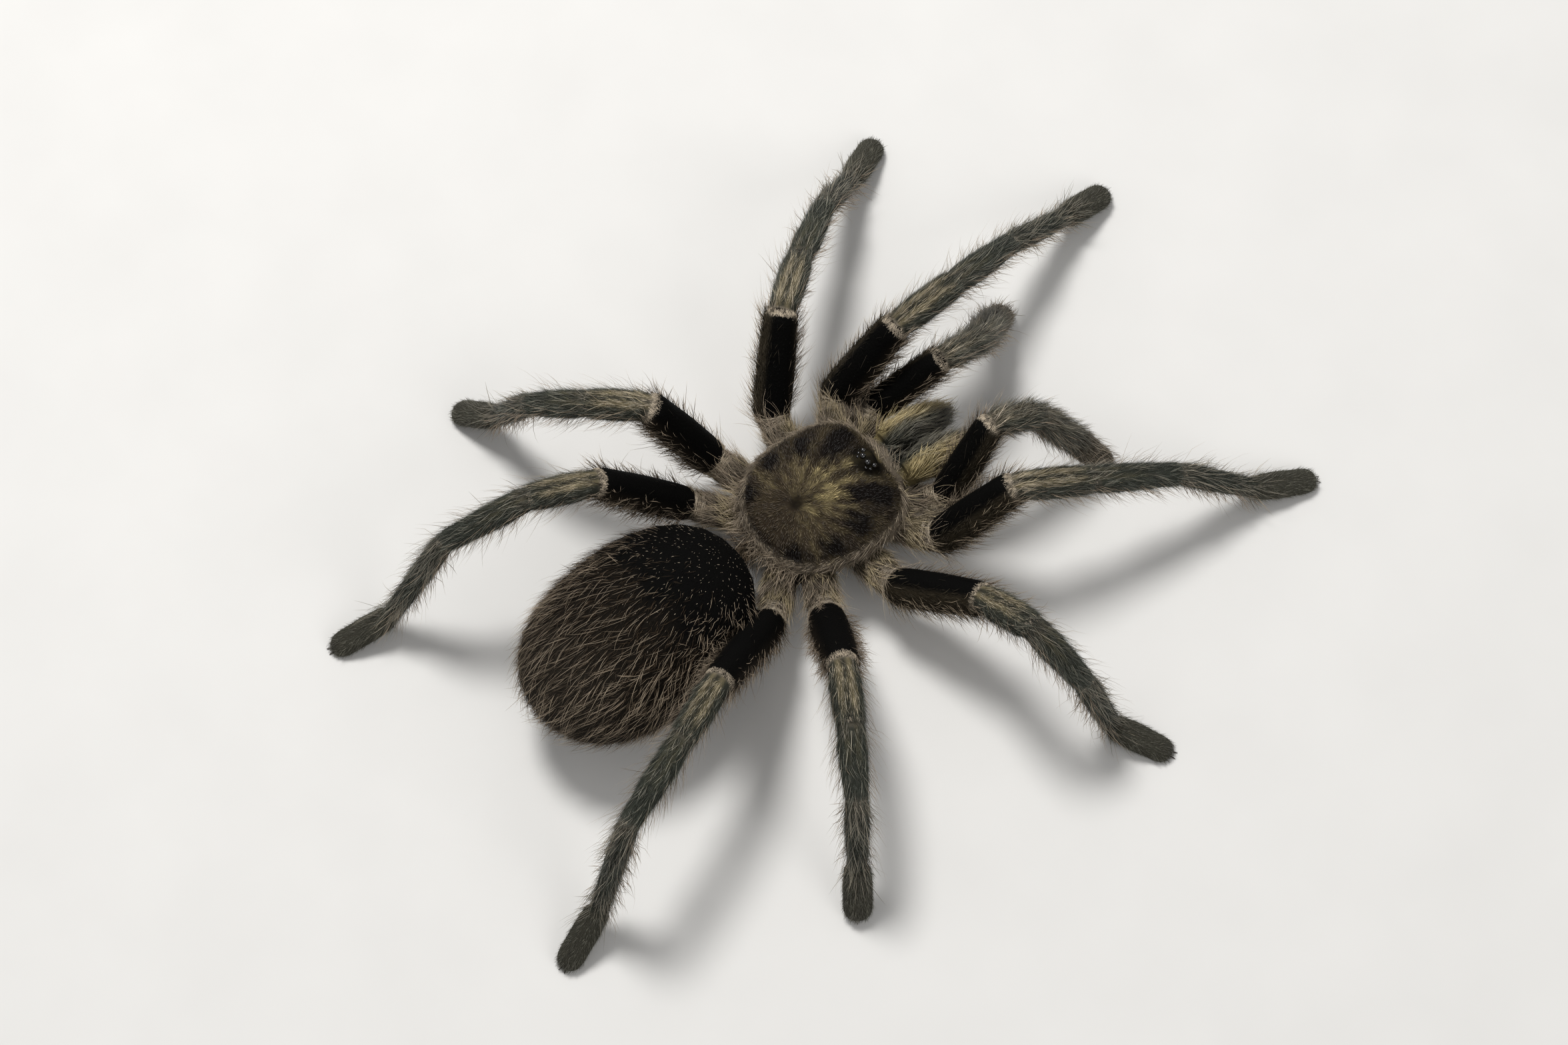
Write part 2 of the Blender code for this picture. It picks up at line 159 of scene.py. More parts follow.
def node_half(name):
    low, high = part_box(name)
    return (np.array(high) - np.array(low)) / 2 / MM


def placed(name, data):
    """A new object of the scene that holds the data."""
    thing = bpy.data.objects.new(name, data)
    bpy.context.scene.collection.objects.link(thing)
    return thing


def new_mesh_object(name, places, corners, face_size, material):
    """Mesh object from arrays of places, in millimetres, and faces that all have face_size corners."""
    mesh = bpy.data.meshes.new(name)
    mesh.vertices.add(len(places))
    mesh.vertices.foreach_set("co", (places * MM).astype(np.float32).ravel())
    corners = np.asarray(corners, dtype=np.int32).reshape(-1, face_size)
    mesh.loops.add(corners.size)
    mesh.polygons.add(len(corners))
    mesh.polygons.foreach_set("loop_start", np.arange(0, corners.size, face_size, dtype=np.int32))
    mesh.loops.foreach_set("vertex_index", corners.ravel())
    mesh.update(calc_edges=True)
    mesh.shade_smooth()
    mesh.materials.append(material)
    return placed(name, mesh)


def store(mesh, name, values):
    layer = mesh.attributes.new(name, "FLOAT", "POINT")
    layer.data.foreach_set("value", np.asarray(values, dtype=np.float32))


# ---- spines of the limbs ----
def limb_nodes(row, side):
    last = "tarsus" if row == "palp" else "foot"
    return [f"{row}_{side}_{part}" for part in ("femur", "patella", "tibia", last)]


def meeting_place(first, second):
    """Middle of where two nodes face each other across their thin gap."""
    apart = length_of(first[:, None] - second[None])
    near_first = first[apart.min(axis=1) < 0.5]
    near_second = second[apart.min(axis=0) < 0.5]
    return (near_first.mean(axis=0) + near_second.mean(axis=0)) / 2


def section(corners, point, normal):
    """Centre and area of a closed triangle mesh where a plane cuts it."""
    height = (corners - point) @ normal
    starts = []
    ends = []
    for first, second in ((0, 1), (1, 2), (2, 0)):
        low, high = height[:, first], height[:, second]
        share = low / np.where(low == high, 1.0, low - high)
        crossing = corners[:, first] + share[:, None] * (corners[:, second] - corners[:, first])
        starts.append(np.where(((low < 0) & (high >= 0))[:, None], crossing, 0.0))
        ends.append(np.where(((low >= 0) & (high < 0))[:, None], crossing, 0.0))
    crossed = (height.min(axis=1) < 0) & (height.max(axis=1) >= 0)
    start = sum(starts)[crossed] - point
    end = sum(ends)[crossed] - point
    if not crossed.any():
        return point, 0.0
    twice_area = np.cross(start, end) @ normal
    total = twice_area.sum()
    centre = point + ((start + end) / 3.0 * twice_area[:, None]).sum(axis=0) / total
    return centre, abs(total) / 2


def foot_bend(corners, start):
    """Place of the joint inside a foot node, and its tip."""
    cloud = corners.reshape(-1, 3)
    chord = unit(cloud[np.argmax(length_of(cloud - start))] - start)
    reach = (cloud - start) @ chord
    tip, _ = section(corners, start + chord * (reach.max() - 0.35), chord)
    tip = tip + chord * 0.3
    chord = unit(tip - start)
    places = [section(corners, start + chord * reach.max() * share, chord)[0]
              for share in np.linspace(0.1, 0.9, 49)]
    away = np.cross(np.array(places) - start, chord)
    return places[int(np.argmax(length_of(away)))], tip


class Limb:
    """Centre line of a limb with its tangents, sides and the CAD tube's radius."""

    def __init__(self, row, side, prosoma, sternum_cloud):
        self.side = side
        self.segments = PALP_SEGMENTS if row == "palp" else LEG_SEGMENTS
        nodes = [node_arrays(name) for name in limb_nodes(row, side)]
        corner_sets = [places[triangles] for places, triangles in nodes]
        root = meeting_place(sternum_cloud, nodes[0][0])
        joints = [root] + [meeting_place(a[0], b[0]) for a, b in zip(nodes, nodes[1:])]
        bend, tip = foot_bend(corner_sets[-1], joints[-1])
        joints += [tip] if row == "palp" else [bend, tip]
        inward = np.array((
            prosoma[0] + 0.32 * (root[0] - prosoma[0]),
            prosoma[1] + 0.5 * (root[1] - prosoma[1]),
            COXA_START_HEIGHT))
        joints.insert(0, inward)
        self.joints = joints
        self.sample(joints, corner_sets)

    def sample(self, joints, corner_sets):
        lengths = length_of(np.diff(joints, axis=0))
        starts = np.concatenate(([0.0], np.cumsum(lengths)))
        self.lengths, self.starts, self.total = lengths, starts, starts[-1]
        self.reach = np.linspace(0.0, self.total, int(self.total / SPINE_STEP) + 1)
        line = np.stack([np.interp(self.reach, starts, values) for values in np.transpose(joints)], axis=1)
        for _ in range(6):
            line[1:-1] = (line[:-2] + 2 * line[1:-1] + line[2:]) / 4
        self.centre = line
        self.tangent = unit(np.gradient(line, axis=0))
        self.sideways = unit(np.cross(self.tangent, (0.0, 0.0, 1.0)))
        self.up = np.cross(self.sideways, self.tangent)
        self.index = np.clip(np.searchsorted(starts, self.reach, side="right") - 1, 0, len(lengths) - 1)
        self.share = (self.reach - starts[self.index]) / lengths[self.index]
        self.code = np.array([SEGMENT_CODE[self.segments[i]] for i in self.index])
        self.cad_radius = self.measure(corner_sets)

    def measure(self, corner_sets):
        """Radius of the CAD tube at every sample, from cuts away from the joints."""
        places, radii = [], []
        for i, (start, length) in enumerate(zip(self.starts, self.lengths)):
            if i == 0:
                continue
            corners = corner_sets[min(i, len(corner_sets)) - 1]
            for share in (0.2, 0.35, 0.5, 0.65, 0.8):
                if self.segments[i] == "tarsus" and share > 0.7:
                    continue
                k = int(np.argmin(np.abs(self.reach - start - share * length)))
                _, area = section(corners, self.centre[k], self.tangent[k])
                places.append(self.reach[k])
                radii.append(math.sqrt(area / math.pi))
        return np.interp(self.reach, places, radii)

    def skin_radius(self):
        radius = np.empty(len(self.reach))
        for i, name in enumerate(self.segments):
            here = self.index == i
            under = self.cad_radius[here] - COAT_DEPTH[name]
            radius[here] = under * table_at(SEGMENT_SHAPE[name], self.share[here])
        return radius

    def shell(self):
        """Closed loft of the limb's skin; the tarsus is flatter than it is wide."""
        radius = self.skin_radius()
        flat = np.where(self.code == SEGMENT_CODE["tarsus"], ease(0.0, 0.25, self.share), 0.0)
        wide = radius * (1.0 + 0.08 * flat)
        tall = radius * (1.0 - 0.12 * flat)
        return loft(self.centre, self.sideways, self.up, wide, tall)


def loft(centres, sideways, up, wide, tall, around=SKIN_SIDES):
    angle = np.linspace(0.0, 2 * math.pi, around, endpoint=False)
    rings = (centres[:, None]
             + np.sin(angle)[None, :, None] * wide[:, None, None] * sideways[:, None]
             + np.cos(angle)[None, :, None] * tall[:, None, None] * up[:, None])
    count = len(centres)
    faces = []
    for ring in range(count - 1):
        for k in range(around):
            after = (k + 1) % around
            faces.append((ring * around + k, ring * around + after,
                          (ring + 1) * around + after, (ring + 1) * around + k))
    first, last = count * around, count * around + 1
    for k in range(around):
        after = (k + 1) % around
        faces.append((first, after, k))
        faces.append((last, (count - 1) * around + k, (count - 1) * around + after))
    places = np.concatenate((rings.reshape(-1, 3), centres[:1], centres[-1:]))
    return places, faces


def ball_shell(centre, half_size):
    builder = bmesh.new()
    bmesh.ops.create_icosphere(builder, subdivisions=4, radius=1.0)
    places = np.array([vertex.co[:] for vertex in builder.verts]) * np.array(half_size) + centre
    faces = [tuple(vertex.index for vertex in face.verts) for face in builder.faces]
    builder.free()
    return places, faces


def shrunk_node(name):
    """A CAD node scaled about its middle so that it lies inside by the coat's depth."""
    places, triangles = node_arrays(name)
    middle, half = node_middle(name), node_half(name)
    depth = COAT_DEPTH[name.split("_")[0]]
    return middle + (places - middle) * (1.0 - depth / half), triangles.tolist()


# ---- body directions ----
PROSOMA = node_middle("carapace")
CARAPACE_HALF = node_half("carapace")
FOVEA = PROSOMA + np.array((0.0, FOVEA_BEHIND, CARAPACE_HALF[2]))
WAIST = node_middle("pedicel") + np.array((0.0, node_half("pedicel")[1], 0.0))
ABDOMEN = node_middle("abdomen")
BACKWARD = unit((ABDOMEN - WAIST) * np.array((1.0, 1.0, 0.0)))
ABDOMEN_SIDE = np.array((BACKWARD[1], -BACKWARD[0], 0.0))
ABDOMEN_CLOUD = node_arrays("abdomen")[0] - ABDOMEN
ABDOMEN_LONG = float(np.abs(ABDOMEN_CLOUD @ BACKWARD).max())
ABDOMEN_WIDE = float(np.abs(ABDOMEN_CLOUD @ ABDOMEN_SIDE).max())
ABDOMEN_TALL = float(node_half("abdomen")[2])
EYE_NODES = [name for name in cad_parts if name.startswith("eye_")]
flesh = [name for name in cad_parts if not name.startswith(("eye_", "fang_"))]
MOUND = np.mean([node_middle(name) for name in EYE_NODES], axis=0) + np.array((0.0, -0.23, -0.8))
MOUND_HALF = (1.72, 1.36, 1.22)
FANG_BASE_DEPTH = 1.4
# Balls that close the body between sternum, coxae and carapace: place under the carapace and half sizes.
BODY_BALLS = (
    ((0.0, 0.0, -3.2), (4.6, 7.4, 1.7)), ((0.0, 0.0, -0.8), (8.0, 8.6, 2.3)),
    ((0.0, -9.6, -0.6), (4.3, 3.0, 2.3)),
)

sternum_places, _ = node_arrays("sternum_and_coxae")
LIMBS = [Limb(row, side, PROSOMA, sternum_places) for side in SIDES for row in ROWS]


# ---- the skin ----
def skin_shells():
    """Closed surfaces whose union is the skin."""
    shells = [limb.shell() for limb in LIMBS]
    shells += [shrunk_node("carapace"), ball_shell(MOUND, MOUND_HALF), shrunk_node("abdomen")]
    for side in SIDES:
        fang = node_arrays(f"fang_{side}")[0]
        fang_base = fang[fang[:, 1] < fang[:, 1].min() + FANG_BASE_DEPTH].mean(axis=0)
        shells += [shrunk_node(f"chelicera_{side}"), shrunk_node(f"spinneret_{side}"),
                   ball_shell(fang_base + (0.0, 0.1, 1.0), (1.05, 1.2, 1.0))]
    below = PROSOMA - (0.0, 0.0, CARAPACE_HALF[2])
    shells += [ball_shell(below + offset, half_size) for offset, half_size in BODY_BALLS]
    for palp, leg in ((0, 1), (len(ROWS), len(ROWS) + 1)):
        beside = [LIMBS[number].joints[0] * 0.12 + LIMBS[number].joints[1] * 0.88 for number in (palp, leg)]
        shells.append(ball_shell((beside[0] + beside[1]) / 2, (2.0, 2.0, 1.4)))
    shells.append(ball_shell(node_middle("pedicel"), (1.25, 3.4, 1.2)))
    return shells


def joined(shells):
    """Places and faces of several meshes as one."""
    places, faces = [], []
    for shell_places, shell_faces in shells:
        offset = len(places)
        places.extend(shell_places.tolist())
        faces.extend(tuple(corner + offset for corner in face) for face in shell_faces)
    return places, faces


def voxel_skin():
    """One watertight surface round all the shells, as arrays of places and four-sided faces."""
    places, faces = joined(skin_shells())
    mesh = bpy.data.meshes.new("shells")
    mesh.from_pydata(places, [], faces)
    carrier = placed("shells", mesh)
    modifier = carrier.modifiers.new("remesh", "REMESH")
    modifier.mode = "VOXEL"
    modifier.voxel_size = VOXEL
    modifier.adaptivity = 0.0
    evaluated = carrier.evaluated_get(bpy.context.evaluated_depsgraph_get())
    whole = evaluated.to_mesh()
    skin = np.empty(len(whole.vertices) * 3)
    whole.vertices.foreach_get("co", skin)
    corners = np.empty(len(whole.loops), dtype=np.int32)
    whole.loops.foreach_get("vertex_index", corners)
    edges = np.empty(len(whole.edges) * 2, dtype=np.int32)
    whole.edges.foreach_get("vertices", edges)
    evaluated.to_mesh_clear()
    bpy.data.objects.remove(carrier)
    return skin.reshape(-1, 3), corners.reshape(-1, 4), edges.reshape(-1, 2)


def smoothed(places, edges, rounds, amount=0.5):
    """Each point moved towards the middle of its neighbours, then most of the shrinking undone."""
    size = len(places)
    first, second = edges[:, 0], edges[:, 1]
    count = np.bincount(edges.ravel(), minlength=size).astype(float)[:, None]
    for step in range(rounds * 2):
        total = np.zeros_like(places)
        for axis in range(3):
            total[:, axis] = (np.bincount(first, weights=places[second, axis], minlength=size)
                              + np.bincount(second, weights=places[first, axis], minlength=size))
        push = amount if step % 2 == 0 else -amount * 1.04
        places = places + push * (total / np.maximum(count, 1) - places)
    return places


def vertex_normals(places, quads):
    normals = np.cross(places[quads[:, 2]] - places[quads[:, 0]], places[quads[:, 3]] - places[quads[:, 1]])
    total = np.zeros_like(places)
    for corner in range(4):
        for axis in range(3):
            total[:, axis] += np.bincount(quads[:, corner], weights=normals[:, axis], minlength=len(places))
    return unit(total)


def nearest_nodes(places):
    """For each point, the index in flesh of the CAD node nearest to it."""
    meshes = [(node_places, triangles.tolist()) for node_places, triangles in map(node_arrays, flesh)]
    tree = BVHTree.FromPolygons(*joined(meshes))
    owner = np.repeat(np.arange(len(flesh)), [len(triangles) for _, triangles in meshes])
    found = np.array([tree.find_nearest(place)[2] for place in places])
    return owner[found]


PARTS = ("limb", "sternum", "carapace", "chelicera", "abdomen", "spinneret", "pedicel")
PART = {name: code for code, name in enumerate(PARTS)}


class Skin:
    """Arrays over the skin's points: where each is on the animal and how the coat lies there.

    On a limb, reach is the distance along it, share the part of its segment that is passed and
    turn the angle round it, 0 on top. On the carapace, reach and turn are polar about the fovea.
    On the abdomen and jaws, share runs along, reach runs sideways and turn runs up, from -1 to 1.
    u and v place a point on the bake map, and side is 1 on the animal's left and -1 on its right.
    """

    def __init__(self):
        places, self.quads, edges = voxel_skin()
        self.places = smoothed(places, edges, 2)
        count = len(places)
        self.part = np.full(count, PART["sternum"])
        self.limb = np.full(count, -1)
        self.code = np.full(count, -1)
        self.lie = np.zeros((count, 3))
        self.share, self.reach, self.turn, self.u, self.v = np.zeros((5, count))
        self.side = np.where(self.places[:, 0] >= 0, 1.0, -1.0)
        self.locate()
        self.carve()
        self.places[:, 2] = np.maximum(self.places[:, 2], SOLE_HEIGHT)
        self.normal = vertex_normals(self.places, self.quads)
        flat = self.lie - dot(self.lie, self.normal)[:, None] * self.normal
        self.lie = unit(flat)

    def locate(self):
        owner = nearest_nodes(self.places)
        for index, name in enumerate(flesh):
            here = np.flatnonzero(owner == index)
            if not len(here):
                continue
            if name.startswith(("leg", "palp")):
                row, side = name.split("_")[:2]
                number = SIDES.index(side) * len(ROWS) + ROWS.index(row)
                self.on_limb(here, number)
            elif name == "sternum_and_coxae":
                self.on_underside(here)
            elif name == "carapace":
                self.on_carapace(here)
            elif name == "abdomen":
                self.on_abdomen(here)
            elif name.startswith("chelicera"):
                self.on_chelicera(here, name)
            elif name.startswith("spinneret"):
                turn, along = self.wrap(here, node_middle(name), BACKWARD, 3.0)
                self.fill(here, "spinneret", lie=BACKWARD, u=turn, v=along)
            else:
                self.fill(here, "pedicel", lie=BACKWARD, u=0.97, v=0.97)

    def fill(self, here, part, **fields):
        self.part[here] = PART[part]
        for name, values in fields.items():
            getattr(self, name)[here] = values

    def wrap(self, here, middle, axis, half_length):
        """Round-and-along coordinates about an axis through a middle."""
        across = unit(np.cross(axis, (0.0, 0.0, 1.0)))
        upward = np.cross(across, axis)
        offset = self.places[here] - middle
        round_share = np.arctan2(offset @ across, offset @ upward) / (2 * math.pi) + 0.5
        return round_share, np.clip((offset @ axis) / (2 * half_length) + 0.5, 0.0, 1.0)

    def on_limb(self, here, number, only=None):
        limb = LIMBS[number]
        samples = np.arange(len(limb.reach)) if only is None else np.flatnonzero(limb.index == only)
        if only is None:
            samples = samples[limb.index[samples] > 0]
        apart = length_of(self.places[here][:, None] - limb.centre[samples][None])
        k = samples[apart.argmin(axis=1)]
        offset = self.places[here] - limb.centre[k]
        forward = np.clip(dot(offset, limb.tangent[k]), -SPINE_STEP, SPINE_STEP)
        reach = np.clip(limb.reach[k] + forward, 0.0, limb.total)
        segment = limb.index[k]
        share = np.clip((reach - limb.starts[segment]) / limb.lengths[segment], 0, 1)
        turn = np.arctan2(dot(offset, limb.sideways[k]), dot(offset, limb.up[k]))
        row = number % len(ROWS)
        self.fill(here, "limb", limb=number, code=limb.code[k], lie=limb.tangent[k],
                  reach=reach, share=share, turn=turn,
                  u=(row + 0.5 + turn / (2 * math.pi)) / len(ROWS), v=reach / limb.total)

    def on_underside(self, here):
        """Points of the underside go to the coxa they are nearest to, or to the sternum."""
        nearest = np.full(len(here), 1e9)
        which = np.zeros(len(here), dtype=int)
        for number, limb in enumerate(LIMBS):
            coxa = limb.centre[limb.index == 0]
            apart = length_of(self.places[here][:, None] - coxa[None]).min(axis=1)
            which = np.where(apart < nearest, number, which)
            nearest = np.minimum(nearest, apart)
        middle = length_of((self.places[here] - PROSOMA)[:, :2] / (4.0, 7.0)) < 1.0
        for number in range(len(LIMBS)):
            chosen = here[(which == number) & ~middle]
            if len(chosen):
                self.on_limb(chosen, number, only=0)
                self.v[chosen] = np.clip(self.v[chosen] * 3.0, 0, 0.9)
        chosen = here[middle]
        offset = self.places[chosen] - PROSOMA
        self.fill(chosen, "sternum", lie=unit(offset * (0.2, 0.0, 0.0) + (0.0, 1.0, 0.0)),
                  u=0.5 + offset[:, 0] / 20, v=0.93 + offset[:, 1] / 200)

    def on_carapace(self, here):
        offset = self.places[here] - FOVEA
        reach = length_of(offset[:, :2])
        drop = np.maximum(0.0, -offset[:, 2])
        share = np.clip((reach + drop * 0.6) / 34.0, 0, 0.49)
        turn = np.arctan2(offset[:, 0], -offset[:, 1])
        self.fill(here, "carapace", lie=unit(offset * (1.0, 1.0, 0.25)), turn=turn, reach=reach,
                  u=0.5 + share * np.sin(turn), v=0.5 + share * np.cos(turn))

    def on_abdomen(self, here):
        offset = self.places[here] - ABDOMEN
        along = offset @ BACKWARD / ABDOMEN_LONG
        spread = unit(self.places[here] - WAIST - np.array((0.0, 0.0, 2.0)))
        radial = ease(0.9, -0.7, along)[:, None] * 0.75
        turn, way = self.wrap(here, ABDOMEN, BACKWARD, ABDOMEN_LONG)
        self.fill(here, "abdomen", lie=unit(spread * radial + BACKWARD * (1.0 - radial) + (0.0, 0.0, -0.12)),
                  share=along, reach=offset @ ABDOMEN_SIDE / ABDOMEN_WIDE, turn=offset[:, 2] / ABDOMEN_TALL,
                  u=turn, v=way)

    def on_chelicera(self, here, name):
        side = 1.0 if name.endswith("left") else -1.0
        middle = node_middle(name)
        axis = unit(np.array((side * 0.06, -1.0, -0.35)))
        offset = self.places[here] - middle
        along = np.clip((offset @ axis) / JAW_LENGTH + 0.5, 0, 1)
        rear = ease(0.42, 0.15, along)[:, None]
        turn, way = self.wrap(here, middle, axis, JAW_LENGTH / 2 + 0.5)
        self.fill(here, "chelicera", lie=axis * (1.0 - 0.5 * rear) + np.array((0.0, 0.0, 0.8)) * rear,
                  side=side, share=along, reach=offset[:, 0] * side / JAW_HALF_WIDTH,
                  turn=offset[:, 2] / JAW_HALF_HEIGHT,
                  u=turn / 2 + (0.5 if side > 0 else 0.0), v=way)

    def carve(self):
        """Fovea, the grooves that run from it, and the folds beside the head."""
        here = np.flatnonzero(self.part == PART["carapace"])
        turn = np.degrees(np.abs(self.turn[here]))
        reach = self.reach[here]
        near_mound = length_of((self.places[here] - MOUND)[:, :2])
        keep = ease(1.9, 3.0, near_mound)
        depth = FOVEA_DEPTH * np.exp(-reach ** 2)
        for angle, strength, width in CARAPACE_GROOVES:
            line = np.exp(-((turn - angle) * np.maximum(reach, 1.0) / 57.3 / width) ** 2)
            depth += strength * line * ease(0.6, 2.5, reach) * ease(9.8, 6.5, reach)
        self.places[here, 2] -= depth * keep


# Angle from straight ahead in degrees, depth and half width in millimetres.
CARAPACE_GROOVES = ((32.0, 0.42, 0.55), (68.0, 0.3, 0.5), (103.0, 0.3, 0.5), (140.0, 0.24, 0.5))

skin = Skin()
COSINE = np.cos(skin.turn)


# ---- markings, as fields over the skin ----
def is_part(name):
    return (skin.part == PART[name]).astype(float)


def is_segment(name):
    return ((skin.part == PART["limb"]) & (skin.code == SEGMENT_CODE[name])).astype(float)


def patchy(scale, seed):
    """Smooth random field between 0 and 1, from a few crossed waves; scale may differ by axis."""
    waves = np.random.default_rng(seed)
    total = np.zeros(len(skin.places))
    for _ in range(9):
        direction = unit(waves.normal(size=3)) / scale
        total += np.sin(skin.places @ direction * 2 * math.pi + waves.uniform(0, 6.28))
    return ease(-2.4, 2.4, total)


def joint_distance(segment):
    """Distance along the limb from a segment's start, on either side of the joint."""
    away = np.full(len(skin.places), 99.0)
    for number, limb in enumerate(LIMBS):
        if segment not in limb.segments:
            continue
        start = limb.starts[limb.segments.index(segment)]
        here = skin.limb == number
        away[here] = skin.reach[here] - start
    return away


coxa, femur, patella, tibia, metatarsus, tarsus = [is_segment(name) for name in LEG_SEGMENTS]
sternum, carapace, chelicera, abdomen, spinneret, pedicel = [is_part(name) for name in PARTS[1:]]
behind = joint_distance("femur")


def coat_markings():
    """Shares of black velvet, pale, gold, warm brown and dark at each point of the skin."""
    lateral = np.abs(skin.turn)
    edge = carapace_edge()
    bare = carapace * bald_patches()

    velvet = femur * ease(-0.15, 0.8, COSINE - 0.9 * HIND_FACE) * ease(0.0, 0.07, skin.share)
    ragged_back = back_share() + 0.14 * (patchy(6.0, 1) - 0.5)
    velvet += abdomen * ease(0.12, -0.5, ragged_back) * ease(-0.3, 0.4, skin.turn)
    velvet += abdomen * (0.33 + 0.15 * ease(0.7, -0.2, skin.share))
    # Black round the eye mound is its own colour; black within 1.5 mm of the fovea is painted shade in its
    # pit.
    velvet += (carapace * (0.85 * ease(2.5, 1.5, mound_distance()) + 0.7 * ease(1.5, 0.3, skin.reach))
               + 0.25 * bare)
    velvet += chelicera * 0.35 * ease(0.2, -0.5, skin.reach)

    pale = bump_at(joint_distance("patella"), -0.1, 0.3) * ease(-0.6, 0.0, COSINE)
    pale += bump_at(joint_distance("metatarsus"), 0.0, 0.45) * ease(-0.2, 0.4, COSINE) * 0.4
    pale += bump_at(joint_distance("tibia"), 0.5, 0.3) * ease(0.2, 0.7, COSINE) * 0.3
    # Pale collar bands before the femora, partly painted sheen of the hair that lies round them.
    pale += femur_collar() * 0.75
    pale += (coxa * 0.12 + carapace * edge * 0.4 + spinneret * 0.2
             + PALP * (tibia + tarsus) * 0.12 + tarsus * 0.06)
    pale += abdomen * 0.1 * ease(0.1, 0.9, skin.share)

    stripe = patella_stripe()
    pale += patella * 0.22 * stripe
    gold = (patella * 0.65 * stripe * (1.0 - 0.7 * PALP)
            + tibia * 0.22 * bump_at(lateral, 0.36, 0.15) * ease(0.75, 0.2, skin.share))
    gold += carapace * (1.0 - edge) * carapace_gold()
    gold += (chelicera * ease(-0.35, 0.2, skin.reach) * ease(1.0, 0.85, skin.share)
             * (0.85 + 0.3 * patchy(3.0, 4)))
    gold += coxa * 0.5 * ease(0.6, 0.75, patchy(4.0, 21)) + femur * 0.12 * HIND_FACE

    warm = (coxa * 0.65 + femur * 0.6 + patella * 0.12 + tibia * 0.05 + metatarsus * 0.08
            + tarsus * (0.2 + 0.3 * PALP))
    warm += carapace * 0.8 + chelicera * 0.15 + abdomen * 0.6 + spinneret * 0.8
    warm += sternum * 0.6 + pedicel * 0.7

    dark = tarsus * 0.2 * bump_at(lateral, 0.0, 0.35) + metatarsus * 0.25 * bump_at(lateral, 0.0, 0.3)
    dark += 0.6 * bump_at(joint_distance("tibia"), 0.1, 0.3) * (patella + tibia)
    dark += patella * 0.55 * bump_at(lateral, 0.0, 0.13) + tibia * 0.2 * bump_at(lateral, 0.0, 0.25)
    dark += (carapace * (0.5 + 0.3 * ease(4.5, 7.0, skin.reach)) * (1.0 - edge) * (1.0 - carapace_gold())
             + 0.5 * bare)
    # On the coxae this darkens the short coat under the long hairs, partly darker tone and partly painted
    # shade between them.
    dark += abdomen * 0.8 + femur * 0.6 + coxa * 0.45
    jaw_streaks = ease(0.5, 0.75, patchy(np.array((1.0, 6.0, 1.0)), 5))
    dark += chelicera * 0.55 * jaw_streaks * (1.0 - 0.8 * np.clip(gold, 0, 1))
    fields = {"velvet": velvet, "pale": pale, "gold": gold, "warm": warm, "dark": dark}
    return {name: np.clip(values, 0.0, 1.0) for name, values in fields.items()}


def patella_stripe():
    """Two pale lines down the top of each patella."""
    return bump_at(np.abs(skin.turn), 0.38, 0.2) * ease(1.0, 0.5, skin.share) * patella


def hind_face():
    """1 on the rear-facing side of the femora of the palps and first two legs, 0 elsewhere."""
    level = unit(skin.lie * (1.0, 1.0, 0.0) + (0.0, -1e-6, 0.0))
    rearward = np.stack((-level[:, 1], level[:, 0], np.zeros(len(level))), axis=1) * skin.side[:, None]
    return femur * (skin.limb % len(ROWS) < 3) * ease(0.1, 0.8, dot(skin.normal, rearward))


def back_share():
    """From -1 at the abdomen's front to 1 at its rear, running ahead along its sides."""
    return skin.share + 0.4 * ease(0.5, 0.95, np.abs(skin.reach))


def femur_collar():
    """Pale bands, one behind another, round the last stretch before each femur, on its upper side; partly
    pale hair, partly painted sheen.
    """
    bands = (bump_at(behind, -0.1, 0.24) + 0.8 * bump_at(behind, -0.95, 0.24)
             + 0.6 * bump_at(behind, -1.8, 0.24))
    return bands * ease(-0.9, 0.1, COSINE)


def carapace_edge():
    """1 along the carapace's rim and 0 further in, seen from above."""
    cloud = node_arrays("carapace")[0] - PROSOMA
    rim = cloud[cloud[:, 2] < cloud[:, 2].min() + 0.01]
    rim_turn = np.arctan2(rim[:, 0], rim[:, 1])
    order = np.argsort(rim_turn)
    outline = length_of(rim[order, :2])
    offset = skin.places - PROSOMA
    turn = np.arctan2(offset[:, 0], offset[:, 1])
    reach = np.interp(turn, rim_turn[order], outline, period=2 * math.pi)
    return ease(0.89, 0.95, length_of(offset[:, :2]) / reach)


def mound_distance():
    return length_of((skin.places - MOUND)[:, :2] / (1.3, 1.0))


# Angle from straight ahead in degrees, distance from the fovea, half length and half width.
BALD_PATCHES = (
    (50.0, 8.0, 1.5, 1.3), (84.0, 6.9, 1.4, 1.1), (126.0, 6.4, 1.4, 1.1), (166.0, 7.0, 1.3, 1.2),
    (25.0, 9.0, 3.2, 1.0), (25.0, 10.8, 1.6, 1.5),
)


def bald_patches():
    """Dark worn patches on the carapace, the same on both sides."""
    turn = np.abs(skin.turn)
    patches = np.zeros(len(skin.places))
    for angle, distance, half_length, half_width in BALD_PATCHES:
        ahead = skin.reach * np.cos(turn - math.radians(angle)) - distance
        aside = skin.reach * np.sin(turn - math.radians(angle))
        patches += np.exp(-(ahead / half_length) ** 4 - (aside / half_width) ** 4)
    return np.clip(patches * (0.5 + 0.8 * patchy(2.5, 2)), 0, 1)


def radial_streaks():
    """Streaks that run out from the fovea over the carapace, between 0 and 1."""
    waves = np.random.default_rng(31)
    total = np.zeros(len(skin.places))
    for _ in range(8):
        twist = skin.turn * waves.integers(8, 30) + skin.reach * 0.6 * waves.normal()
        total += np.sin(twist + waves.uniform(0, 6.28))
    return ease(-2.2, 2.2, total)


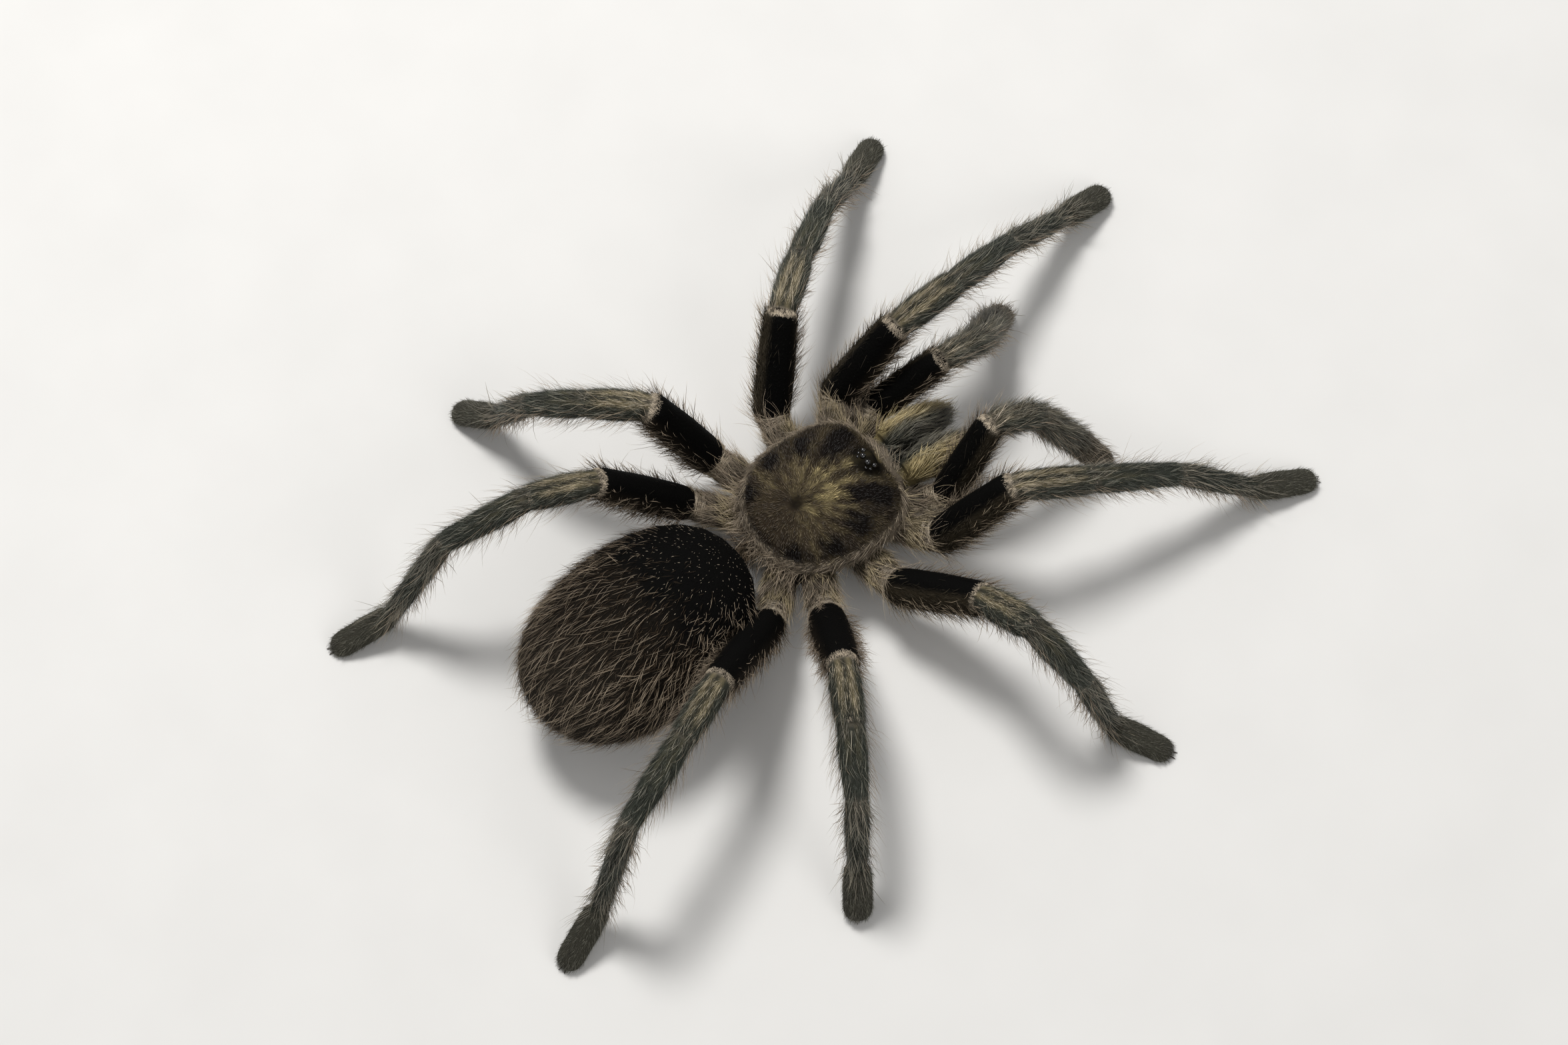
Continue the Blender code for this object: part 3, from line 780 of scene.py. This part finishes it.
def carapace_gold():
    """Olive gold that radiates from the fovea and runs up the head between the eyes and the fovea."""
    turn, reach = np.abs(skin.turn), skin.reach
    wisps = ease(0.3, 0.8, 0.5 * patchy(1.6, 3) + 0.5 * radial_streaks())
    broad = 0.4 + 0.9 * ease(0.3, 0.8, patchy(6.0, 23))
    near = ease(10.5, 2.5, reach) * ease(0.4, 1.4, reach) * broad * (0.15 + 0.85 * ease(2.4, 1.2, turn))
    crown = np.exp(-(reach * np.sin(turn) / 2.4) ** 2) * ease(1.2, 0.9, turn) * ease(2.0, 4.0, reach)
    flanks = 0.14 * ease(2.3, 1.7, turn)
    return np.clip((0.05 + flanks + 0.35 * near + 0.45 * crown) * (0.25 + 1.0 * wisps), 0, 1)


PALP = ((skin.part == PART["limb"]) & (skin.limb % len(ROWS) == 0)).astype(float)
HIND_FACE = hind_face()
marks = coat_markings()
RIM = carapace_edge() * carapace
COLLAR_SHEEN = femur_collar()


# ---- growing the hairs ----
COAT = {}


def piece_names():
    """The coat piece each point of the skin belongs to."""
    names = np.where(skin.side > 0, "underside_coat_left", "underside_coat_right").astype("<U24")
    names[skin.part == PART["carapace"]] = "carapace_coat"
    names[skin.part == PART["chelicera"]] = "jaw_coat"
    names[(skin.part == PART["abdomen"]) | (skin.part == PART["spinneret"])] = "abdomen_coat"
    for number, limb in enumerate(LIMBS):
        for segment, label in (("femur", "femur"), ("patella", "patella"), ("tibia", "tibia"),
                               ("metatarsus", "foot"), ("tarsus", "foot")):
            here = (skin.limb == number) & (skin.code == SEGMENT_CODE[segment])
            names[here] = f"{label}_coat_{limb.side}"
    return names


PIECE = piece_names()
TRIANGLES = np.concatenate((skin.quads[:, [0, 1, 2]], skin.quads[:, [0, 2, 3]]))
TRIANGLE_AREA = length_of(np.cross(
    skin.places[TRIANGLES[:, 1]] - skin.places[TRIANGLES[:, 0]],
    skin.places[TRIANGLES[:, 2]] - skin.places[TRIANGLES[:, 0]])) / 2
LOCK_TURN = patchy(1.8, 11)
# LOCK_SHADE sets the length of hairs lock by lock and darkens the shorter locks, painted shade in the gaps
# between locks.
LOCK_SHADE = ease(0.2, 0.8, patchy(0.9, 12))


def scatter(density):
    """Roots spread over the skin with so many to the square millimetre."""
    weight = TRIANGLE_AREA * density[TRIANGLES].mean(axis=1)
    total = weight.sum()
    count = int(total)
    steps = (np.arange(count) + rng.random(count)) * (total / count)
    chosen = np.minimum(np.searchsorted(np.cumsum(weight), steps), len(weight) - 1)
    first, second = rng.random(count), rng.random(count)
    fold = first + second > 1.0
    first[fold], second[fold] = 1.0 - first[fold], 1.0 - second[fold]
    return TRIANGLES[chosen], np.stack((1.0 - first - second, first, second), axis=1)


def grow(density, length, width, lift, curl=(0.0, 0.0), yaw=0.2, sway=0.3, rings=2, suffix="", lie=None,
         tint=None, sink=0.12):
    """Adds hairs to the coat. Fields are arrays over the skin or single numbers.

    lift is the angle off the skin in radians at the root and at the tip, curl turns a hair in
    the skin's plane, yaw scatters hairs one by one and sway turns whole locks together.
    sink is how far the roots start below the skin.
    tint scales markings and adds to them: {"velvet": (scale, added)}.
    """
    corners, shares = scatter(density)
    count = len(corners)

    def at_root(field):
        field = np.asarray(field, dtype=float)
        if field.ndim == 0:
            return np.full(count, float(field))
        if field.ndim == 1:
            return (field[corners] * shares).sum(axis=1)
        return (field[corners] * shares[:, :, None]).sum(axis=1)

    normal = unit(at_root(skin.normal))
    forward = at_root(skin.lie if lie is None else lie)
    forward = unit(forward - dot(forward, normal)[:, None] * normal)
    across = np.cross(normal, forward)
    root = at_root(skin.places) - normal * sink
    size = at_root(length) * (1.0 + 0.25 * rng.uniform(-1.6, 1.0, count))
    thick = at_root(width) * (1.0 + 0.25 * rng.uniform(-1, 1, count))
    turn = yaw * rng.normal(size=count) + sway * (2.0 * at_root(LOCK_TURN) - 1.0)
    size = size * (0.8 + 0.4 * at_root(LOCK_SHADE))
    bend = rng.uniform(*curl, count)
    bend = bend * np.clip(4.0 * at_root(LOCK_TURN) - 2.0 + 0.4 * rng.normal(size=count), -1, 1)
    rise = at_root(lift[0]) * (1.0 + 0.35 * rng.normal(size=count))
    fall = at_root(lift[1])

    point = root
    columns = []
    lines = [step / rings for step in range(rings)]
    for share, taper in zip(lines, HAIR_TAPER):
        angle = (rise + (fall - rise) * share)[:, None]
        heading = (turn + bend * share)[:, None]
        direction = (np.cos(angle) * (np.cos(heading) * forward + np.sin(heading) * across)
                     + np.sin(angle) * normal)
        flat = unit(np.cross(normal, direction) + 1e-6 * across)
        upward = np.cross(direction, flat)
        half = (thick * taper / 2)[:, None]
        low = upward * half * HAIR_FLATNESS * 0.5
        high = upward * half * HAIR_FLATNESS
        columns.append(np.stack((point - flat * half - low, point + flat * half - low, point + high), axis=1))
        point = point + direction * (size / rings)[:, None]
    places = np.concatenate(columns + [point[:, None]], axis=1)
    height = places[..., 2]
    squashed = CLEARANCE * np.exp((height - CLEARANCE) / SQUASH)
    places[..., 2] = np.where(height < CLEARANCE, squashed, height)

    values = {name: at_root(field) for name, field in marks.items()}
    # shade is random tone per hair plus painted shade between locks.
    values["shade"] = 0.6 * rng.random(count) ** 1.5 + 0.4 * at_root(LOCK_SHADE)
    for name, (scale, added) in (tint or {}).items():
        values[name] = np.clip(values[name] * scale + at_root(added), 0, 1)
    anchor = corners[:, 0]
    owner = PIECE[anchor]
    if suffix:
        owner[:] = "abdomen_coat"
    for name in np.unique(owner):
        here = owner == name
        COAT.setdefault(str(name) + suffix, []).append({
            "places": places[here], "rings": rings, "lines": lines,
            "values": {key: field[here] for key, field in values.items()},
            "u": skin.u[anchor][here], "v": skin.v[anchor][here]})


def hair_faces(rings):
    faces = [(0, 2, 1)]
    for ring in range(rings - 1):
        low, high = ring * 3, ring * 3 + 3
        for k in range(3):
            after = (k + 1) % 3
            faces.append((low + k, low + after, high + after))
            faces.append((low + k, high + after, high + k))
    last, tip = (rings - 1) * 3, rings * 3
    faces.extend((last + k, last + (k + 1) % 3, tip) for k in range(3))
    return np.array(faces)


def build_coat_piece(name, batches, material):
    """One mesh of all the hairs of a piece, with its markings and its bake map."""
    all_places, all_faces, patch_u, patch_v = [], [], [], []
    fields = {key: [] for key in (*marks, "shade", "along")}
    offset = 0
    for batch in batches:
        places, rings = batch["places"], batch["rings"]
        count, size = places.shape[:2]
        faces = hair_faces(rings)
        all_places.append(places.reshape(-1, 3))
        all_faces.append((faces[None] + (np.arange(count) * size)[:, None, None] + offset).reshape(-1, 3))
        offset += count * size
        # along runs from 0 at the root to 1 at the tip; the material darkens each hair towards its root with
        # it, painted shade inside the coat.
        along = np.append(np.repeat(batch["lines"], 3), 1.0)
        across = np.append(np.tile((-0.5, 0.5, 0.0), rings), 0.0)
        fields["along"].append(np.tile(along, count))
        for key, field in batch["values"].items():
            fields[key].append(np.repeat(field, size))
        low, high = PATCH, 1.0 - PATCH
        centre_u = np.clip(batch["u"], low, high)[:, None]
        centre_v = np.clip(batch["v"], low, high)[:, None]
        patch_u.append((centre_u + across[None] * PATCH).ravel())
        patch_v.append((centre_v + (along[None] - 0.5) * PATCH).ravel())
    corners = np.concatenate(all_faces)
    piece = new_mesh_object(name, np.concatenate(all_places), corners, 3, material)
    for key, parts in fields.items():
        store(piece.data, key, np.concatenate(parts))
    bake = piece.data.uv_layers.new(name="OFBake")
    flat = np.stack((np.concatenate(patch_u), np.concatenate(patch_v)), axis=1)[corners.ravel()]
    bake.data.foreach_set("uv", flat.astype(np.float32).ravel())
    return piece


def only(**added):
    """Tint that clears velvet and dark and sets the markings named."""
    return {"velvet": (0.0, 0.0), "dark": (0.0, 0.0)} | {name: (0.0, value) for name, value in added.items()}


shin = patella + tibia + metatarsus
top = ease(-0.3, 0.3, COSINE)
jaw = chelicera * ease(0.85, 0.5, skin.normal[:, 1])
ROSY = only(warm=1.0) | {"pale": (0.3, 0.33), "shade": (0.8, 0.25)}
# Pale tint of the knee rings, and of the femur collars where it is partly painted sheen.
PALE_AND_SHEEN = only(pale=0.8)


def grow_close_coat():
    """The hairs that lie along the body everywhere."""
    velvet = marks["velvet"]
    density = (coxa * 8.0 * ease(-0.8, -2.0, behind) + femur * (10.0 - 5.0 * top) + shin * 18.0
               + tarsus * 21.0 + jaw * 16.0
               + abdomen * (8.0 - 2.0 * velvet) + spinneret * 9.0 + sternum * 3.0 + pedicel * 4.0)
    length = (coxa * 1.5 + femur * (0.5 + 0.8 * (1 - top)) + shin * (1.9 + 0.5 * PALP) + tarsus * 0.9
              + chelicera * 1.8
              + abdomen * (1.5 - 0.8 * velvet) + spinneret * 0.9 + sternum * 1.2 + pedicel * 1.0)
    width = 0.115 - 0.012 * (tarsus + shin)
    lift = (0.2 + 0.15 * coxa + 0.05 * femur + 0.02 * shin + 0.35 * tarsus + 0.1 * chelicera
            + 0.25 * PALP * shin + 0.35 * abdomen * velvet + 0.25 * femur * top)
    grow(density, length, width, (lift * 0.75, 0.0), yaw=0.18, sway=0.25, rings=1)
    off_mound = ease(1.3, 2.2, mound_distance())
    grow(carapace * off_mound * (1.0 - 0.8 * RIM) * (16.0 - 6.0 * velvet), 0.9 - 0.3 * velvet, 0.08,
         (0.3, 0.02), curl=(0.0, 0.4), yaw=0.22, sway=0.3, sink=0.08, tint={"shade": (0.85, 0.0)})


def grow_limb_hairs():
    """Longer hairs that stand off the sides and undersides, pale ones on top, and the fans over the feet."""
    flank = ease(0.3, -0.3, COSINE)
    sides = ease(0.75, 0.1, COSINE)
    density = (patella * 2.6 + tibia * 3.4 + metatarsus * 3.4 + femur * 8.0) * (0.5 * flank + 0.5 * sides)
    length = patella * 2.8 + tibia * 3.4 + metatarsus * 3.2 + femur * 3.2
    grow(density, length, 0.065, (0.5 + 0.1 * shin, 0.15), curl=(0.0, 0.7), yaw=0.2, sway=0.25,
         tint=ROSY | {"dark": (0.0, 0.5 * (femur * sides))})
    grow(femur * HIND_FACE * 9.0, 1.7, 0.08, (0.25, 0.0), curl=(0.0, 0.4), yaw=0.15,
         tint=only(dark=0.8, gold=0.15, warm=0.4) | {"velvet": (0.3, 0.3)})
    density = tibia * 1.6 + metatarsus * 1.8 + patella * 1.2 + 2.5 * PALP * (shin + tarsus) + femur * 0.12
    grow(density * top, 2.7, 0.07, (0.35 + 0.15 * PALP, 0.0), curl=(0.0, 0.3), yaw=0.15, rings=3,
         tint={"pale": (1.0, 0.2), "dark": (0.3, 0.0), "velvet": (0.85, 0.0), "gold": (0.3, 0.0)})
    grow((shin * 0.7 + femur * flank * 0.8) * ease(0.9, 0.3, COSINE), 4.6, 0.055, (0.55, 0.1),
         curl=(0.0, 0.6), yaw=0.3, rings=4, tint=ROSY)
    grow(patella_stripe() * 16.0, 2.0, 0.07, (0.14, 0.02), yaw=0.06, sway=0.05,
         tint=only(gold=0.45, pale=0.55) | {"shade": (0.4, 0.45)})
    fan = metatarsus * (0.8 * ease(0.4, 0.1, skin.share) + ease(0.45, 0.75, skin.share))
    grow(fan * ease(-0.5, 0.3, COSINE) * 4.0, 4.2, 0.07, (0.3, 0.06), curl=(0.0, 0.4), yaw=0.2, rings=3,
         tint={"pale": (0.5, 0.25), "dark": (0.4, 0.0), "warm": (1.0, 0.15)})


def grow_abdomen_hairs():
    """Pale hairs swept back over the dark ground, from flecks in front to long ones behind."""
    back = ease(-0.7, 0.3, back_share())
    grow(abdomen * back * 1.35, 0.7 + 3.3 * back, 0.065, (0.38, -0.1), curl=(0.1, 0.6), yaw=0.12,
         sway=0.25, rings=4, suffix="_long", tint=only(pale=0.36, warm=0.85))
    grow(abdomen * back * 4.0, 1.9, 0.055, (0.4, 0.0), curl=(0.1, 0.6), yaw=0.2, suffix="_long",
         tint=only(warm=0.9, dark=0.62))
    flanks = abdomen * ease(0.35, 0.85, np.abs(skin.reach)) * ease(0.8, 0.3, skin.share)
    grow(flanks * 2.2, 2.4, 0.06, (0.6, 0.1), curl=(0.0, 0.6), yaw=0.3, rings=3, suffix="_long", tint=ROSY)
    grow(abdomen * (1.0 - back) * 1.5, 0.6, 0.065, (0.6, 0.1), yaw=0.3, suffix="_long",
         tint=only(pale=0.5) | {"shade": (1.0, 0.1)})


def grow_fringe():
    """Hairs that run back round the carapace's edge, looser ones that fan out of it, and the waist's."""
    outward = unit((skin.places - PROSOMA) * (1.0, 1.0, 0.0))
    turn_back = np.cross((0.0, 0.0, 1.0), outward) * skin.side[:, None]
    grow(RIM * 44.0, 1.7, 0.065, (0.16, -0.1), curl=(0.0, 0.15), yaw=0.05, sway=0.05,
         lie=outward * 0.45 + turn_back, tint=only(warm=0.75, pale=0.24))
    grow(RIM * 4.0, 2.4, 0.065, (0.25, 0.0), curl=(0.0, 0.5), yaw=0.25, rings=3,
         lie=outward * 0.9 + turn_back, tint=only(warm=0.8, pale=0.4))
    grow(RIM * 9.0 * ease(0.5, 0.9, outward[:, 1]), 3.4, 0.065, (0.15, -0.1), curl=(0.0, 0.5), yaw=0.3,
         rings=3, lie=outward, tint=ROSY)
    grow(pedicel * 9.0, 3.4, 0.075, (1.0, 0.3), curl=(0.2, 0.8), yaw=0.5, rings=3, tint=only(warm=0.8))


def grow_coxa_hairs():
    """Shaggy coxae, with pale bands that wrap the femur bases, their brightness partly painted sheen."""
    shaggy = coxa * 9.0 * ease(-0.8, 0.0, COSINE) * ease(-1.5, -2.5, behind)
    grow(shaggy, 1.1 + 1.7 * ease(-2.3, -4.5, behind), 0.075, (0.28, 0.0), curl=(0.1, 0.6), yaw=0.08,
         sway=0.35, rings=3,
         tint=only(warm=0.65) | {"pale": (1.0, 0.08)})
    grow(coxa * 4.0 * ease(-0.9, -0.3, COSINE), 3.8, 0.065, (0.42, 0.05), curl=(0.1, 0.7), yaw=0.12,
         sway=0.35, rings=4, tint=ROSY)
    around = np.cross(skin.normal, skin.lie) * np.where(skin.turn > 0, 1.0, -1.0)[:, None]
    grow(COLLAR_SHEEN * 50.0, 1.1, 0.06, (0.1, -0.05), yaw=0.03, sway=0.0, rings=3, lie=around, sink=0.03,
         tint=PALE_AND_SHEEN)


def grow_knee_rings():
    """Silver rings at the knees, and fainter ones at the next two joints."""
    ring = bump_at(joint_distance("patella"), -0.25, 0.13)
    for joint in ("tibia", "metatarsus"):
        ring += 0.35 * bump_at(joint_distance(joint), -0.2, 0.13)
    grow(ring * ease(-0.5, 0.2, COSINE) * 330.0, 0.42, 0.05, (0.12, -0.1), yaw=0.12, sway=0.2, sink=0.02,
         tint=PALE_AND_SHEEN)


def grow_jaw_hairs():
    """Long striped hairs that run over the front of the jaws."""
    grow(jaw * 10.0 * ease(-0.8, 0.0, skin.turn), 2.9, 0.07, (0.36, -0.05), curl=(0.0, 0.3), yaw=0.1,
         sway=0.15, rings=3,
         tint={"velvet": (0.7, 0.0), "pale": (0.0, 0.14), "shade": (0.55, 0.5), "dark": (0.7, 0.0)})


grow_close_coat()
grow_limb_hairs()
grow_abdomen_hairs()
grow_fringe()
grow_coxa_hairs()
grow_knee_rings()
grow_jaw_hairs()


# ---- materials ----
GREY_HAIR = (90, 95, 85)
# What each marking mixes over the grey, in this order.
HAIR_COLORS = {
    "warm": (112, 92, 70), "gold": (198, 179, 128), "dark": (34, 27, 22), "pale": (205, 190, 168),
    "velvet": (17, 16, 14),
}


def feed(tree, node, inputs):
    """Sets a node's inputs: a socket is linked, anything else is the value."""
    for key, value in inputs.items():
        if isinstance(value, bpy.types.NodeSocket):
            tree.links.new(value, node.inputs[key])
        else:
            node.inputs[key].default_value = value


def new_node(tree, kind, inputs, **settings):
    node = tree.nodes.new(kind)
    for key, value in settings.items():
        setattr(node, key, value)
    feed(tree, node, inputs)
    return node


def attribute(tree, name):
    return new_node(tree, "ShaderNodeAttribute", {}, attribute_name=name).outputs["Fac"]


def mixed(tree, factor, first, second):
    return new_node(tree, "ShaderNodeMix", {0: factor, 6: first, 7: second}, data_type="RGBA").outputs[2]


def scaled(tree, value, low, high):
    node = new_node(tree, "ShaderNodeMapRange", {"Value": value, "To Min": low, "To Max": high})
    return node.outputs["Result"]


def multiplied(tree, first, second):
    return new_node(tree, "ShaderNodeMath", {0: first, 1: second}, operation="MULTIPLY").outputs[0]


def noise(tree, scale, detail=3.0):
    place = new_node(tree, "ShaderNodeTexCoord", {}).outputs["Object"]
    node = new_node(tree, "ShaderNodeTexNoise", {"Vector": place, "Scale": scale, "Detail": detail})
    return node.outputs["Fac"]


def markings_group():
    """Colour of skin and hair alike, from the fields they carry, darkened towards hair roots and between
    locks as painted shade.
    """
    tree = bpy.data.node_groups.new("tarantula_markings", "ShaderNodeTree")
    tree.interface.new_socket(name="Color", in_out="OUTPUT", socket_type="NodeSocketColor")
    color = linear(GREY_HAIR)
    for name, layer in HAIR_COLORS.items():
        color = mixed(tree, attribute(tree, name), color, linear(layer))
    # Brightness: shade is random tone per hair with painted shade between locks, and along darkens each hair
    # towards its root as painted shade inside the coat.
    light = multiplied(tree, scaled(tree, attribute(tree, "shade"), 0.42, 1.58),
                       scaled(tree, attribute(tree, "along"), 0.45, 1.25))
    light = multiplied(tree, light, scaled(tree, noise(tree, 350.0), 0.72, 1.28))
    shaded = new_node(tree, "ShaderNodeVectorMath", {0: color, "Scale": light}, operation="SCALE")
    new_node(tree, "NodeGroupOutput", {"Color": shaded.outputs[0]})
    return tree


MARKINGS = markings_group()


def new_material(name):
    material = bpy.data.materials.new(name)
    material.use_nodes = True
    return material, material.node_tree, material.node_tree.nodes["Principled BSDF"]


def coat_material(name, roughness, specular, bump=0.0):
    material, tree, shader = new_material(name)
    color = new_node(tree, "ShaderNodeGroup", {}, node_tree=MARKINGS).outputs["Color"]
    feed(tree, shader, {"Base Color": color, "Roughness": roughness, "Specular IOR Level": specular})
    if bump:
        grain = new_node(tree, "ShaderNodeBump", {
            "Strength": bump, "Distance": 0.0002, "Height": noise(tree, 3200.0, 4.0)})
        feed(tree, shader, {"Normal": grain.outputs["Normal"]})
    return material


def mottled_material(name, dark, light, roughness, scale, coat=0.0):
    material, tree, shader = new_material(name)
    color = mixed(tree, noise(tree, scale), linear(dark), linear(light))
    feed(tree, shader, {
        "Base Color": color, "Roughness": roughness, "Coat Weight": coat, "Coat Roughness": 0.03})
    return material


# Roughness and specular level of the coats that differ from the usual one.
USUAL_SHEEN = (0.48, 0.4)
SHEEN = {"femur_velvet": (0.6, 0.08), "abdomen_hair": (0.5, 0.1), "jaw_hair": (0.42, 0.45)}


# ---- pieces ----
def finish_piece(piece):
    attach(piece, "root")


def build_skin():
    material = coat_material("skin", 0.8, 0.05, bump=0.6)
    piece = new_mesh_object("skin", skin.places, skin.quads, 4, material)
    for name, values in marks.items():
        store(piece.data, name, values)
    # The skin's low shade and along darken it throughout, painted shade under the coat.
    store(piece.data, "shade", np.full(len(skin.places), 0.1))
    store(piece.data, "along", np.full(len(skin.places), 0.1))
    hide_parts(*flesh)
    finish_piece(piece)


def build_coat():
    materials = {}
    for name, batches in sorted(COAT.items()):
        region = name.split("_")[0]
        slot = "femur_velvet" if region == "femur" else f"{region}_hair"
        if slot not in materials:
            materials[slot] = coat_material(slot, *SHEEN.get(slot, USUAL_SHEEN))
        finish_piece(build_coat_piece(name, batches, materials[slot]))


def build_eyes():
    material = mottled_material("eye_lens", (5, 4, 5), (14, 10, 9), roughness=0.05, scale=900.0, coat=0.8)
    for name in EYE_NODES:
        places, faces = ball_shell(node_middle(name), node_half(name))
        piece = new_mesh_object(name + "_lens", places, faces, 3, material)
        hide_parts(name)
        finish_piece(piece)


def build_fangs():
    material = mottled_material("fang_horn", (16, 8, 7), (52, 20, 14), roughness=0.22, scale=500.0, coat=0.3)
    for side in SIDES:
        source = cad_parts[f"fang_{side}"]
        mesh = source.data.copy()
        mesh.materials.clear()
        mesh.materials.append(material)
        builder = bmesh.new()
        builder.from_mesh(mesh)
        bmesh.ops.remove_doubles(builder, verts=builder.verts, dist=0.00001)
        bmesh.ops.subdivide_edges(builder, edges=builder.edges, cuts=1, use_grid_fill=True, smooth=0.6)
        builder.to_mesh(mesh)
        builder.free()
        mesh.shade_smooth()
        piece = placed(f"fang_{side}_horn", mesh)
        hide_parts(f"fang_{side}")
        finish_piece(piece)


CLAW_LENGTH = 0.85
CLAW_HOOK = 0.55
CLAW_RADIUS = 0.11
# Least height of a claw's middle line above the floor.
CLAW_HEIGHT = 0.12


def build_claws():
    """Two small hooked claws at the end of each foot."""
    material = mottled_material("claw_horn", (20, 14, 12), (60, 44, 34), roughness=0.3, scale=700.0)
    shells = []
    for limb in LIMBS:
        tip, ahead, across, up = limb.centre[-1], limb.tangent[-1], limb.sideways[-1], limb.up[-1]
        for side in (-1.0, 1.0):
            share = np.linspace(0.0, 1.0, 7)[:, None]
            line = (tip + across * side * (0.32 + 0.16 * share)
                    + ahead * (0.1 + CLAW_LENGTH * np.sin(share * 1.5)) + up * (0.1 - CLAW_HOOK * share ** 2))
            line[:, 2] = np.maximum(line[:, 2], CLAW_HEIGHT)
            along = unit(np.gradient(line, axis=0))
            sideways = unit(np.cross(along, up))
            radius = CLAW_RADIUS * (1.0 - 0.85 * share[:, 0])
            shells.append(loft(line, sideways, np.cross(sideways, along), radius, radius, around=8))
    places, faces = joined(shells)
    mesh = bpy.data.meshes.new("claws")
    mesh.from_pydata((np.array(places) * MM).tolist(), [], faces)
    mesh.materials.append(material)
    mesh.shade_smooth()
    finish_piece(placed("claws", mesh))


build_skin()
build_coat()
build_eyes()
build_fangs()
build_claws()


# ---- studio ----
def build_floor():
    mesh = bpy.data.meshes.new("floor")
    mesh.from_pydata([(x * FLOOR_HALF, y * FLOOR_HALF, 0) for x, y in ((-1, -1), (1, -1), (1, 1), (-1, 1))],
                     [], [(0, 1, 2, 3)])
    paper = mottled_material("floor_paper", (212, 210, 206), (220, 218, 214), roughness=0.85, scale=60.0)
    mesh.materials.append(paper)
    floor = placed("floor", mesh)


def view_directions():
    turn, rise = math.radians(CAMERA_AZIMUTH), math.radians(CAMERA_ELEVATION)
    back = Vector((math.sin(turn) * math.cos(rise), -math.cos(turn) * math.cos(rise), math.sin(rise)))
    right = Vector((math.cos(turn), math.sin(turn), 0.0))
    away = Vector((-math.sin(turn), math.cos(turn), 0.0))
    return back, right, away


def build_camera():
    back, right, away = view_directions()
    aim = Vector((PROSOMA[0] * MM, PROSOMA[1] * MM, 0.0)) + right * AIM_RIGHT * MM + away * AIM_AWAY * MM
    camera = placed("camera", bpy.data.cameras.new("camera"))
    camera.data.lens = CAMERA_LENS
    camera.data.sensor_width = SENSOR_WIDTH
    camera.data.clip_start = 0.01
    camera.location = aim + back * CAMERA_DISTANCE
    camera.rotation_euler = back.to_track_quat("Z", "Y").to_euler()
    bpy.context.scene.camera = camera


def add_light(name, place, size, power):
    light = bpy.data.lights.new(name, "AREA")
    light.shape = "DISK"
    light.size = size
    light.energy = power
    lamp = placed(name, light)
    lamp.location = place
    lamp.rotation_euler = place.to_track_quat("Z", "Y").to_euler()


def build_lights():
    _, right, away = view_directions()
    add_light("key", away * 0.35 - right * 0.2 + Vector((0, 0, 0.7)), size=0.25, power=6.0)
    add_light("fill", -away * 0.5 + right * 0.5 + Vector((0, 0, 0.5)), size=0.5, power=1.5)
    world = bpy.data.worlds.new("studio")
    world.use_nodes = True
    background = world.node_tree.nodes["Background"]
    feed(world.node_tree, background, {"Color": (0.97, 0.98, 1.0, 1.0), "Strength": 0.38})
    bpy.context.scene.world = world


build_floor()
build_camera()
build_lights()
bpy.context.scene.view_settings.view_transform = "Standard"
